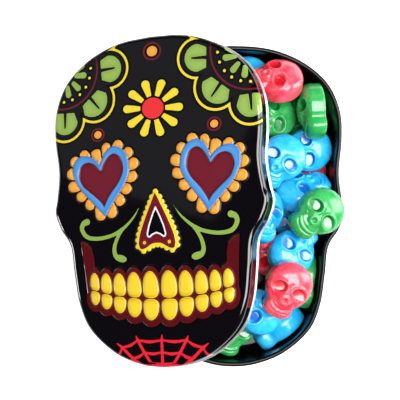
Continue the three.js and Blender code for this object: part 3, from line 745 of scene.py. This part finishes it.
# %% Draw the corner flower
def along_and_across(x, y, start, turn_deg):
    turn = math.radians(turn_deg)
    way = (math.cos(turn), math.sin(turn))
    dx, dy = x - start[0], y - start[1]
    return dx * way[0] + dy * way[1], -dx * way[1] + dy * way[0]


def corner_flower(side, y):
    green = [to_line(side, y, root, tip, *SMALL_PETAL) for root, tip in SMALL_PETALS]
    lobes = [to_circle(side, y, FLOWER_MIDDLE, FLOWER_DISC), to_circle(side, y, *TOP_LOBE)]
    for start, turn, inner_half, widening, middle, radius, lobe_middle, lobe in LEAVES:
        along, across = along_and_across(side, y, start, turn)
        rim = np.hypot(along - middle, across) - radius
        shoulder = (np.abs(across) - inner_half - along * widening) / math.hypot(1, widening)
        slit = to_line(along, across, *LEAF_SLIT)
        green.append(np.maximum.reduce([rim, shoulder, -along, -slit]))
        lobes.append(to_circle(along, across, lobe_middle, lobe))
    yellow = [np.abs(np.minimum.reduce(lobes)) - YELLOW_LINE]
    for turn in np.radians(DOT_TURNS_DEG):
        dot = np.array(FLOWER_MIDDLE) + DOT_ARC * np.array([math.cos(turn), math.sin(turn)])
        yellow.append(to_circle(side, y, dot, DOT_RADIUS))
    arc_line = np.abs(to_circle(side, y, FLOWER_MIDDLE, FLOWER_ARC)) - WINE_LINE
    return np.minimum.reduce(green), np.minimum.reduce(yellow), arc_line


# %% Dots with rings
# Each has its middle, the radius of the dot and that of the ring round it
RINGED_DOTS = [((0, 39.7), 1.5, 2.42), ((16.8, 18.7), 1.1, 1.8)]
DOT_SQUASH = 0.92


def ringed_dots(side, y):
    dots, rings = [], []
    for (centre_x, centre_y), dot, ring in RINGED_DOTS:
        far = np.hypot(side - centre_x, (y - centre_y) / DOT_SQUASH)
        dots.append(far - dot)
        rings.append(np.abs(far - ring) - WINE_LINE)
    return np.minimum.reduce(dots), np.minimum.reduce(rings)


# %% [markdown]
# Each eye is a blue heart with a maroon one inside, in a ring of petals. No circle or line gives a heart,
# so a smooth curve runs through marks down its two sides, and the distance is taken to that outline.

# %% Marks of the heart eye
HEART_INNER_SIDE = [
    (15.9, 10.2), (15.3, 12.1), (14.3, 13.8), (12.9, 14.9), (11.4, 15.2), (9.7, 14.5),
    (8.4, 13.1), (7.6, 11.0), (7.3, 8.7), (7.7, 6.9), (8.8, 4.7), (10.4, 2.4), (12.2, 0.1),
    (13.8, -2.1), (14.7, -3.8),
]
HEART_OUTER_SIDE = [
    (14.7, -3.8), (16.1, -2.3), (18.0, -0.3), (20.2, 2.0), (22.3, 4.4), (23.5, 6.6),
    (24.1, 8.4), (24.1, 10.1), (23.4, 11.9), (22.0, 13.0), (20.3, 13.2), (18.7, 12.7),
    (17.1, 11.7), (15.9, 10.2),
]
HOLE_INNER_SIDE = [
    (15.8, 8.7), (15.3, 9.9), (14.4, 11.4), (13.2, 12.7), (11.8, 13.2), (10.2, 12.4), (9.3, 10.8),
    (9.0, 8.7), (9.6, 6.7), (10.8, 4.8), (12.9, 2.4), (14.3, 0.2), (15.0, -1.3),
]
HOLE_OUTER_SIDE = [
    (15.0, -1.3), (15.6, -0.2), (16.8, 1.1), (19.0, 3.0), (21.1, 4.8), (22.1, 6.7), (22.4, 8.3),
    (22.0, 9.8), (21.1, 10.9), (19.7, 11.3), (18.3, 11.0), (17.2, 10.3), (15.8, 8.7),
]
# Each petal has a mark near its tip and its half width there
PETAL_MARKS = [
    (17.0, 12.6, 2.0), (14.2, 14.7, 1.35), (10.85, 15.1, 1.5), (7.95, 13.0, 1.5), (6.4, 10.05, 1.6),
    (6.9, 6.75, 1.6), (8.7, 3.7, 1.65), (10.7, 0.8, 1.65), (13.05, -2.3, 1.6), (16.2, -2.8, 1.6),
    (19.1, 0.1, 1.55), (21.6, 2.4, 1.55), (23.95, 5.05, 1.55), (24.3, 8.5, 1.6), (23.35, 11.6, 1.55),
    (20.6, 13.2, 1.4),
]
# How far a petal reaches in and out from its mark, and what its half width is multiplied by there
PETAL_IN, PETAL_OUT = 1.8, 0.3
PETAL_GIRTHS = (1.12, 0.95)
HEART_MIDDLE = np.array([15.7, 6.6])

# %% Draw the heart eye
heart_outline = np.vstack([smooth_side(HEART_INNER_SIDE), smooth_side(HEART_OUTER_SIDE)])
hole_outline = np.vstack([smooth_side(HOLE_INNER_SIDE), smooth_side(HOLE_OUTER_SIDE)])
print("heart outline", len(heart_outline), "points, its hole", len(hole_outline))


# The next nearest petal is given too, because where both are as near there is a valley
def heart_eye(side, y):
    petals = []
    for px, py, radius in PETAL_MARKS:
        mark = np.array([px, py])
        out = mark - HEART_MIDDLE
        out /= np.linalg.norm(out)
        inner, outer = [radius * girth for girth in PETAL_GIRTHS]
        petals.append(to_line(side, y, mark - PETAL_IN * out, mark + PETAL_OUT * out, inner, outer))
    nearest, next_nearest = np.sort(petals, axis=0)[:2]
    heart, hole = [to_polygon(side, y, outline) for outline in (heart_outline, hole_outline)]
    return heart, hole, nearest, next_nearest


# %% Marks of the nose
NOSE_MARKS = [
    (0, 2.0), (1.4, -1.0), (2.7, -3.8), (4.0, -6.8), (4.9, -9.3), (5.25, -11.45), (4.85, -12.65),
    (3.8, -12.75), (2.6, -12.15), (1.3, -11.45), (0, -11.25),
]
ARROW_MARKS = [
    (0, -1.7), (1.15, -4.1), (2.2, -6.8), (2.75, -9.0), (2.45, -9.7), (1.9, -9.75), (1.1, -9.1), (0, -8.7),
]
NOSE_CORNER = 5
NOSE_STEPS = 6
NOSE_DOT = ((3.55, -11.15), 0.45)
FRILL = 0.6
SCALLOP_STEP = 1.55
SCALLOP_RADIUS = 0.74
SCALLOP_OUT = 0.5
TOP_SCALLOP_UP = (0, 0.25)
AHEAD = 0.1


# %% Draw the nose
def both_sides(marks):
    marks = np.array(marks, float)
    return np.vstack([marks, (marks * (-1, 1))[-2:0:-1]])


# Round scallops stand along the edge of the nose, each a little outside it
def scallop_middles(edge):
    steps = np.linalg.norm(np.diff(edge, axis=0), axis=1)
    lengths = np.concatenate([[0], np.cumsum(steps)])
    at = np.linspace(0, lengths[-1], round(lengths[-1] / SCALLOP_STEP) + 1)
    points = np.stack([np.interp(at, lengths, side) for side in edge.T], axis=1)
    ahead = np.stack([np.interp(at + AHEAD, lengths, side) for side in edge.T], axis=1)
    out = (ahead - points)[:, ::-1] * (-1, 1)
    out[-1] = (0, -1)
    middles = points + SCALLOP_OUT * out / np.linalg.norm(out, axis=1, keepdims=True)
    middles[0] = points[0] + TOP_SCALLOP_UP
    return middles


nose_wings = smooth_side(NOSE_MARKS[: NOSE_CORNER + 1], NOSE_STEPS)
nose_foot = smooth_side(NOSE_MARKS[NOSE_CORNER:], NOSE_STEPS)
nose_edge = np.vstack([nose_wings, nose_foot, [NOSE_MARKS[-1]]])
scallops = scallop_middles(nose_edge)
print("scallops on one side of the nose", len(scallops))


def nose(side, y):
    field = to_polygon(side, y, both_sides(nose_edge))
    rounds = [to_circle(side, y, middle, SCALLOP_RADIUS) for middle in scallops]
    frill = np.minimum.reduce([field - FRILL, *rounds])
    arrow = to_polygon(side, y, both_sides(ARROW_MARKS))
    return field, frill, arrow, to_circle(side, y, *NOSE_DOT)


# %% [markdown]
# The teeth stand in two rows that curve like a jaw, each smaller than the one before. A tooth is drawn as
# a shape between a box and an oval, squarer at the bite, because neither of those looks like a tooth.

# %% Marks of the teeth and of the field that they stand on
# Each tooth has its place to the side and its width
TOOTH_MARKS = [(2.62, 4.4), (7.35, 3.95), (11.62, 3.5), (15.5, 3.1), (18.98, 2.7)]
UPPER_TOPS = [-18.6, -18.75, -18.95, -18.85, -18.65]
BITES = [-25.8, -25.5, -25.0, -24.3, -23.45]
LOWER_ENDS = [-31.45, -30.6, -29.5, -28.4, -27.25]
HALF_BITE = 0.16
TOOTH_TAPER = 0.16
TOOTH_SLANT = 0.012
# A tooth is a squared oval. The first number is how square it is, the second how much less at its root
TOOTH_CORNER = (2.55, 0.5)
TOOTH_CORE = 0.05
GUM = 1.35
LOWER_GUM_MORE = 0.5
LOWER_GUM_WITHIN = 4
CHEEK_MARKS = [
    (22.7, -10.0), (20.9, -10.6), (19.5, -12.1), (18.95, -14.4), (18.75, -19.5), (21.4, -25.0),
    (21.9, -18.0),
]


# %% Draw the mouth
def to_tooth(side, y, x, width, wide_end, narrow_end):
    middle, half = (wide_end + narrow_end) / 2, abs(narrow_end - wide_end) / 2
    towards = 1 if narrow_end > wide_end else -1
    up = np.clip((y - middle) / half * towards, -1, 1)
    dx, dy = side - x, y - middle - TOOTH_SLANT * x * (side - x) * (1 - up) / 2
    up = dy / half * towards
    girth = width / 2 * (1 - TOOTH_TAPER * np.clip(up, -1, 1))
    corner = TOOTH_CORNER[0] - TOOTH_CORNER[1] * np.clip(up, -1, 1)
    shape = (np.abs(dx / girth) ** corner + np.abs(up) ** corner) ** (1 / corner)
    far = np.hypot(dx, dy)
    return np.where(shape < TOOTH_CORE, -width / 2, far - far / np.maximum(shape, TOOTH_CORE))


def mouth(side, y):
    each = []
    for (x, width), top, bite, end in zip(TOOTH_MARKS, UPPER_TOPS, BITES, LOWER_ENDS):
        each.append(to_tooth(side, y, x, width, bite + HALF_BITE, top))
        each.append(to_tooth(side, y, x, width, bite - HALF_BITE, end))
    teeth = np.minimum.reduce(each)
    bite_height = np.interp(side, [x for x, _ in TOOTH_MARKS], BITES)
    below = np.clip((bite_height - y) / LOWER_GUM_WITHIN, 0, 1)
    return teeth, teeth - GUM - LOWER_GUM_MORE * below, to_polygon(side, y, CHEEK_MARKS)


# %% [markdown]
# A scroll is a brush stroke: a smooth curve through a few marks, with a half width at each, so that it can
# swell and run out. The sagging threads of the web are strokes too, and its other threads are lines.

# %% Scrolls on the cheeks
MAIN_SCROLL = [
    (20.6, -4.8, 0.85), (21.8, -5.3, 0.68), (22.2, -6.9, 0.6), (20.6, -8.95, 0.56), (17.1, -9.45, 0.5),
    (13.2, -8.75, 0.48), (10.6, -7.55, 0.48), (8.5, -6.0, 0.35), (6.5, -4.0, 0.22), (4.9, -1.6, 0.05),
]
BRANCH_SCROLL = [
    (9.4, -6.8, 0.2), (11.2, -8.8, 0.42), (12.4, -11.1, 0.5), (12.75, -13.2, 0.58), (12.2, -14.6, 0.66),
    (11.2, -15.1, 0.8), (10.4, -15.3, 0.8),
]
SCROLL_BULB = (11.0, -15.0, 1.75, 0.9, 14)


def scrolls(side, y):
    strokes = [to_stroke(side, y, marks) for marks in (MAIN_SCROLL, BRANCH_SCROLL)]
    return np.minimum.reduce([*strokes, oval_distance(side, y, *SCROLL_BULB)])


# %% Web on the chin
WEB_KNOTS = [
    [(0, -36.7), (6.95, -36.7), (11.5, -38.6), (13.9, -41.6)],
    [(0, -39.8), (5.1, -39.9), (8.6, -41.4), (10.4, -43.0)],
    [(0, -42.8), (3.3, -42.7), (5.6, -43.6), (7.0, -44.6)],
]
WEB_TOPS = [(0, -35.3), (7.4, -35.6), (13.0, -37.5)]
WEB_SAG = 0.42
# Half widths of a thread at its two ends, and of a sagging one in its middle too
FIRST_THREAD = (0.12, 0.4)
THREAD = (0.36, 0.42)
LAST_THREAD = (0.4, 0.45)
SAGGING_THREAD = (0.2, 0.42, 0.25)


def web(side, y):
    lines = []
    for k, top in enumerate(WEB_TOPS):
        knots = np.array([row[k] for row in WEB_KNOTS])
        lines.append(to_line(side, y, top, knots[0], *FIRST_THREAD))
        for a, b in zip(knots, knots[1:]):
            lines.append(to_line(side, y, a, b, *THREAD))
        lines.append(to_line(side, y, knots[-1], 2 * knots[-1] - knots[-2], *LAST_THREAD))
    for row in np.array(WEB_KNOTS):
        for a, b in zip(row, row[1:]):
            down = np.array([-(a - b)[1], (a - b)[0]]) / np.linalg.norm(a - b)
            marks = (a, (a + b) / 2 + down * WEB_SAG, b)
            lines.append(to_stroke(side, y, [(*m, radius) for m, radius in zip(marks, SAGGING_THREAD)]))
    return np.minimum.reduce(lines)


# %% [markdown]
# All ornaments now come together: one distance for each ink, and one height for the pressing. A raised
# edge is a short round slope, as the sheet can't be bent sharply. The print is mirrored, but the sheet
# never lies quite true in the press, so the brow and the jaw sit about half a millimetre to one side.

# %% Heights of the pressing
# Each has its height and the width of its slope, or how far in a dome still rises. The hole takes a share
# of the heart's height away
CHEEK_RELIEF = (0.11, 0.5)
FRILL_RELIEF = (0.45, 0.5)
FIELD_RELIEF = (0.15, 0.4)
PETAL_RELIEF = (0.55, 0.35)
PETAL_DOME = (0.25, 1.4)
HEART_RELIEF = (0.85, 0.45)
HOLE_RELIEF = (0.7, 0.5)
HEART_REACH = 0.25
GUM_RELIEF = (0.45, 0.35)
TOOTH_RELIEF = (0.45, 0.3)
TOOTH_PILLOW = (0.3, 1.6)
# Towards the rounded edge of the sheet the gums sink into it
GUM_END = 21.5
GUM_FADE = 4.5


def dome(distance, height, reach_in):
    t = np.clip(-distance / reach_in, 0, 1)
    return height * np.sqrt(1 - (1 - t) ** 2)


def lid_relief(side, cheek, frill, field, petal, heart, hole, gums, teeth):
    height = plateau(cheek, *CHEEK_RELIEF)
    height = np.maximum(height, plateau(frill, *FRILL_RELIEF) + plateau(field, *FIELD_RELIEF))
    height = np.maximum(height, plateau(petal, *PETAL_RELIEF) + dome(petal, *PETAL_DOME))
    border = plateau(heart, *HEART_RELIEF) * (1 - plateau(hole, *HOLE_RELIEF))
    height = np.where(heart < HEART_REACH, border, height)
    pillow = np.clip(-teeth / TOOTH_PILLOW[1], 0, 1)
    bite = plateau(teeth, *TOOTH_RELIEF) + TOOTH_PILLOW[0] * pillow * (2 - pillow)
    gum_fade = np.clip((GUM_END - side) / GUM_FADE, 0, 1)
    return np.maximum(height, plateau(gums, *GUM_RELIEF) * gum_fade + bite)


# %% Inks and relief of the lid
REGISTER_Y = (-38, -24, -12, 2, 6, 22)
REGISTER_X = (0.2, 0.52, 0.12, 0.05, 0, 0.55)
ARROW_IN = 0.1
ARROW_LINE = 0.2
FRILL_LAP = 0.02
PETAL_GAP = 0.22


def lid_design(x, y):
    side = np.abs(x - np.interp(y, REGISTER_Y, REGISTER_X))
    daisy_heart, daisy_petals = daisy(x, y)
    leaves, yellow, flower_arc = corner_flower(side, y)
    dots, dot_rings = ringed_dots(side, y)
    heart, hole, petals, valleys = heart_eye(side, y)
    field, frill, arrow, nose_dot = nose(side, y)
    teeth, gums, cheek = mouth(side, y)
    arrow = arrow + ARROW_IN
    lone_petal = np.maximum(petals, (petals - valleys) / 2 + PETAL_GAP)
    inks = {
        "ink_yellow": np.minimum.reduce([daisy_petals, yellow, np.maximum(frill, -(field + FRILL_LAP))]),
        "ink_leaf": np.minimum(leaves, scrolls(side, y)),
        "ink_red": daisy_heart,
        "ink_web": web(side, y),
        "ink_maroon": np.minimum(gums, cheek),
        "ink_wine": np.minimum(flower_arc, dot_rings),
        "ink_field": np.maximum(field, -arrow),
        "ink_heart": hole,
        "ink_blue": heart,
        "ink_orange": np.minimum(lone_petal, dots),
        "ink_white": np.abs(arrow) - ARROW_LINE,
        "ink_tooth": np.minimum(teeth, nose_dot),
    }
    return inks, lid_relief(side, cheek, frill, field, lone_petal, heart, hole, gums, teeth)


# %% [markdown]
# The plate is a grid whose rows run from edge to edge of the skull, so that its border is exactly the
# tin's outline and no cell is cut. That border is then extruded over the rounded edge, down the skirt,
# round the hem and back up inside.

# %% Lid section
LID_DEPTH = 5.6
LID_EDGE_RADIUS = 1.3
HEM_TOP = 1.6 * HEM_ROLL
plate_inset = HEM_ROLL + LID_EDGE_RADIUS
hem_z = -LID_DEPTH + HEM_ROLL
lid_section = [
    *arc(plate_inset, -LID_EDGE_RADIUS, LID_EDGE_RADIUS, 90, 0, 6)[1:],
    (HEM_ROLL, hem_z + HEM_TOP),
    *arc(HEM_ROLL, hem_z, HEM_ROLL, 80, -90, 7),
    (HEM_ROLL + SHEET, -LID_DEPTH),
    *arc(plate_inset, -LID_EDGE_RADIUS, LID_EDGE_RADIUS - SHEET, 0, 90, 3),
]

# %% Half width of the plate at a height on the face
ring_points = inset_ring(tin_curve, tin_normal, tin_bend, plate_inset)
right_side = ring_points[np.argsort(-ring_points[:, 1])]
right_side = right_side[right_side[:, 0] >= -TINY]
PLATE_TOP = float(right_side[0, 1])
PLATE_BOTTOM = float(right_side[-1, 1])


def half_width(y):
    return np.interp(y, right_side[::-1, 1], right_side[::-1, 0])


print("plate from", round(PLATE_BOTTOM, 1), "to", round(PLATE_TOP, 1))

# %% Grid fitted to the skull
COLUMNS = 210
ROWS = 300
EDGE_FADE = 1.2
bm = bmesh.new()
ink_names = list(lid_design(np.zeros(1), np.zeros(1))[0])
ink_layers = {name: bm.verts.layers.float.new(name) for name in ink_names}
bare = bm.verts.layers.float.new("bare_hem")
place = bm.verts.layers.int.new("place")
grid = bmesh.ops.create_grid(bm, x_segments=COLUMNS, y_segments=ROWS, size=1)["verts"]
grid_y = PLATE_BOTTOM + (PLATE_TOP - PLATE_BOTTOM) * (np.array([vert.co.y for vert in grid]) + 1) / 2
grid_x = np.array([vert.co.x for vert in grid]) * half_width(grid_y)
inks, relief = lid_design(grid_x, grid_y)
relief = relief * np.clip((half_width(grid_y) - np.abs(grid_x)) / EDGE_FADE, 0, 1)
for k, vert in enumerate(grid):
    vert.co = (grid_x[k], grid_y[k], relief[k])
    for name, layer in ink_layers.items():
        vert[layer] = inks[name][k]
print("lid plate", len(bm.faces), "faces, relief up to", round(float(relief.max()), 2), "mm")

# %% Extrude the skirt and the hem
SAME_PLACE = 1e-4
LONG_STEPS = 60
bmesh.ops.remove_doubles(bm, verts=bm.verts, dist=SAME_PLACE)
border = [e for e in bm.edges if e.is_boundary]
tin_long = closed_curve(mirrored(TIN_MARKS), LONG_STEPS) * (LID_WIDTH / 2, LID_LENGTH / 2)
tin_long_normal = outward(tin_long)
tin_long_bend = bends(tin_long, tin_long_normal)


def lid_ring(inset):
    return inset_ring(tin_long, tin_long_normal, tin_long_bend, inset)


plate_long = lid_ring(plate_inset)
for vert in {v for e in border for v in e.verts}:
    vert[place] = int(np.argmin(((plate_long - np.array(vert.co.xy)) ** 2).sum(1)))
last_edges = extruded_ring(bm, border, lid_section, lid_ring)
print("lid shell", len(bm.faces), "faces")

# %% [markdown]
# The printed sheet is flat when it is printed and only then drawn down over the edge. So the picture on
# the rounded edge is found by laying the edge flat again: as far beyond the plate as the arc is long.
# The skirt below stays black.

# %% Carry the print over the rounded edge
SKIRT_FROM = 0.75
FAR_FROM_INK = 9.0
HEM_SHOWS = 1.1 * HEM_ROLL
shell_verts = [v for v in bm.verts if v.co.z < -SAME_PLACE]
fallen = np.array([min(-v.co.z / LID_EDGE_RADIUS, 1) for v in shell_verts])
laid_out = LID_EDGE_RADIUS * np.arccos(1 - fallen)
at = np.array([v[place] for v in shell_verts])
flat_xy = plate_long[at] + tin_long_normal[at] * laid_out[:, None]
edge_inks, _ = lid_design(flat_xy[:, 0], flat_xy[:, 1])
on_skirt = fallen > SKIRT_FROM
for name, layer in ink_layers.items():
    for vert, value in zip(shell_verts, np.where(on_skirt, FAR_FROM_INK, edge_inks[name])):
        vert[layer] = value
for vert in shell_verts:
    vert[bare] = float(vert.co.z < hem_z + HEM_SHOWS)
print("print carried over", int((~on_skirt).sum()), "vertices")

# %% Close the underside
under = bmesh.ops.edgeloop_fill(bm, edges=last_edges)["faces"]
bmesh.ops.triangulate(bm, faces=under)
bmesh.ops.recalc_face_normals(bm, faces=bm.faces)
print("closed lid", len(bm.faces), "faces")

# %% [markdown]
# ## Printed enamel
# The print lies under clear varnish, so colour and gloss are separate: the inks change only the base
# colour. Each ink covers where its distance is below zero. A black keyline goes round every ink, as on
# the printed sheet.

# %% Ink over what lies below
INK_EDGE = 0.04


def ink_over(tree, below, name, colour, grow=0):
    edge = {"From Min": grow + INK_EDGE, "From Max": grow - INK_EDGE}
    return mixed(tree, ranged(tree, {"Value": stored(tree, name), **edge}), below, colour)


# %% Darker rim inside an ink: print where the ink lies flat, painted shade where it is embossed
RIM_FROM = 0.16
RIM_WIDTH = 1.1
RIM_STRENGTH = 0.75
rims, given, rims_out = new_group(
    "rim_print_and_shade", {"Distance": 0.0, "Width": 0.8, "Strength": 0.5}, "Mask", "NodeSocketFloat"
)
depth_in = maths(rims, "MULTIPLY", given["Distance"], -1)
faded = maths(rims, "DIVIDE", depth_in, given["Width"])
near_rim = maths(rims, "SUBTRACT", 1, faded)
near_rim.node.use_clamp = True
shaded = maths(rims, "MULTIPLY", near_rim, maths(rims, "GREATER_THAN", depth_in, RIM_FROM))
fill(rims, rims_out, {"Mask": maths(rims, "MULTIPLY", shaded, given["Strength"])})


# The rim tone is painted shade where the ink is embossed, and print where the ink lies flat
def ink_with_rim_print_and_shade(tree, name, colour, rim_print_and_shade_colour):
    rim = use_group(tree, rims, Distance=stored(tree, name), Width=RIM_WIDTH, Strength=RIM_STRENGTH)
    return mixed(tree, rim, paint(*colour), paint(*rim_print_and_shade_colour))


print("group", rims.name)

# %% Printed enamel of the lid
KEYLINE = 0.42
# Each ink has its colour, and some have a darker one along their rim: print on flat inks, painted shade
# for the slopes of embossed ones
INKS = [
    ("ink_maroon", (80, 11, 18), None),
    ("ink_wine", (92, 17, 36), None),
    ("ink_leaf", (138, 168, 80), (116, 148, 58)),
    ("ink_yellow", (220, 200, 56), (220, 184, 38)),
    ("ink_field", (104, 18, 34), (86, 8, 14)),
    ("ink_red", (214, 42, 48), None),
    ("ink_web", (214, 32, 52), None),
    ("ink_orange", (220, 156, 62), (214, 126, 34)),
    ("ink_blue", (72, 138, 200), (44, 104, 180)),
    ("ink_heart", (100, 20, 36), (80, 4, 10)),
    ("ink_white", (232, 228, 232), None),
    ("ink_tooth", (222, 190, 42), (196, 142, 18)),
]
lid_enamel, tree, shader = new_material("lid_enamel")
colour = paint(5, 3, 7)
for name, _, _ in INKS:
    colour = ink_over(tree, colour, name, paint(0, 0, 0), KEYLINE)
for name, ink, rim_print_and_shade_ink in INKS:
    shown = ink_with_rim_print_and_shade(tree, name, ink, rim_print_and_shade_ink) if rim_print_and_shade_ink else paint(*ink)
    colour = ink_over(tree, colour, name, shown)
print("inks", len(INKS))

# %% [markdown]
# The raised ornaments are a little satin, because the embossing tool has rubbed the varnish there. At
# the foot of the skirt the curled hem turns the bare inner side of the tinplate outwards, so a bright
# metal line runs round the lid.

# %% Gloss and bare hem
SATIN_INKS = ("ink_orange", "ink_blue", "ink_heart", "ink_tooth", "ink_yellow")
SATIN_MARGIN = 0.6
SATIN_ROUGHNESS = 0.3
VARNISH = 0.8
VARNISH_LOST = 0.7
hem = stored(tree, "bare_hem")
rubbed = hem
for name in SATIN_INKS:
    near_ink = maths(tree, "LESS_THAN", stored(tree, name), SATIN_MARGIN)
    rubbed = maths(tree, "MAXIMUM", near_ink, rubbed)
worn = use_group(tree, scuffs, Clean=0.05, Scuffed=0.15)
lid_finish = {
    "Base Color": mixed(tree, hem, colour, (0.92, 0.9, 0.88, 1)),
    "Metallic": hem,
    "Roughness": maths(tree, "ADD", worn, maths(tree, "MULTIPLY", rubbed, SATIN_ROUGHNESS)),
    "Coat Weight": maths(tree, "SUBTRACT", VARNISH, maths(tree, "MULTIPLY", rubbed, VARNISH_LOST)),
    "Coat Roughness": 0.05,
    "Specular IOR Level": 0.25,
    "Normal": use_group(tree, waves, Scale=300, Height=0.000012),
}
fill(tree, shader, lid_finish)
print("material", lid_enamel.name)

# %% [markdown]
# The lid has been pushed to one side and leans on the tray. Its shift and its three turns are the ones
# that the CAD model was built with, and the box of its CAD node tells how low it hangs.

# %% Lean the lid on the tray
LID_SHIFT = (-20.7, 1.7)
LID_TURNS_DEG = (-3.8, -20.5, 3.7)
lean = Euler([math.radians(t) for t in LID_TURNS_DEG], "XYZ").to_matrix().to_4x4()
lowest = min((lean @ v.co).z for v in bm.verts)
lid_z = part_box("lid")[0].z / MM - lowest
lid_place = Matrix.Translation((*LID_SHIFT, lid_z)) @ lean
lid = piece_from(bm, "printed_lid", lid_place, lid_enamel, "lid")
bm.free()
print("lid middle mm", [round(c, 2) for c in lid_place.to_translation()], "faces", len(lid.data.polygons))

# %% [markdown]
# ## Studio
# A white floor, a dim room and soft boxes. The floor and the world glow only as the camera sees them.
# So the ground behind the tin is white, and no more light falls on the object for it.

# %% White floor
FLOOR_SIZE = 3
FLOOR_BELOW = 0.0002
FLOOR_GLOW = 0.75
floor_mesh = bpy.data.meshes.new("floor")
bm = bmesh.new()
bmesh.ops.create_grid(bm, x_segments=1, y_segments=1, size=FLOOR_SIZE)
bmesh.ops.translate(bm, verts=bm.verts, vec=(0, 0, -FLOOR_BELOW))
bm.to_mesh(floor_mesh)
bm.free()
floor = bpy.data.objects.new("floor", floor_mesh)
bpy.context.scene.collection.objects.link(floor)
white, tree, shader = new_material("white_floor")
seen = tree.nodes.new("ShaderNodeLightPath").outputs["Is Camera Ray"]
floor_finish = {
    "Base Color": (0.85, 0.85, 0.85, 1),
    "Roughness": 0.9,
    "Emission Color": WHITE,
    "Emission Strength": maths(tree, "MULTIPLY", seen, FLOOR_GLOW),
}
fill(tree, shader, floor_finish)
floor_mesh.materials.append(white)

# %% World
WORLD_SEEN = 0.95
WORLD_LIGHT = 0.05
world = bpy.data.worlds.new("studio")
bpy.context.scene.world = world
world.use_nodes = True
tree = world.node_tree
seen = tree.nodes.new("ShaderNodeLightPath").outputs["Is Camera Ray"]
strength = maths(tree, "ADD", maths(tree, "MULTIPLY", seen, WORLD_SEEN), WORLD_LIGHT)
fill(tree, tree.nodes["Background"], {"Color": WHITE, "Strength": strength})

# %% Soft boxes
# Each has its place, its two sides and its watts
SOFT_BOXES = {
    "overhead": ((0.12, 0, 0.45), (0.3, 0.34), 3.5),
    "right_card": ((0.35, 0.06, 0.14), (0.2, 0.3), 1.4),
    "left_strip": ((-0.45, -0.06, 0.1), (0.06, 0.07), 0.35),
    "dim_wall": ((-0.36, 0.16, 0.28), (0.22, 0.3), 0.042),
}
AIM = Vector((0, 0, 0.01))
for name, (spot, sides, watts) in SOFT_BOXES.items():
    light = bpy.data.lights.new(name, "AREA")
    light.shape = "RECTANGLE"
    light.size, light.size_y = sides
    light.energy = watts
    lamp = bpy.data.objects.new(name, light)
    lamp.location = spot
    lamp.rotation_euler = (AIM - Vector(spot)).to_track_quat("-Z", "Y").to_euler()
    bpy.context.scene.collection.objects.link(lamp)
bpy.context.scene.view_settings.view_transform = "Standard"
print("soft boxes", len(SOFT_BOXES))
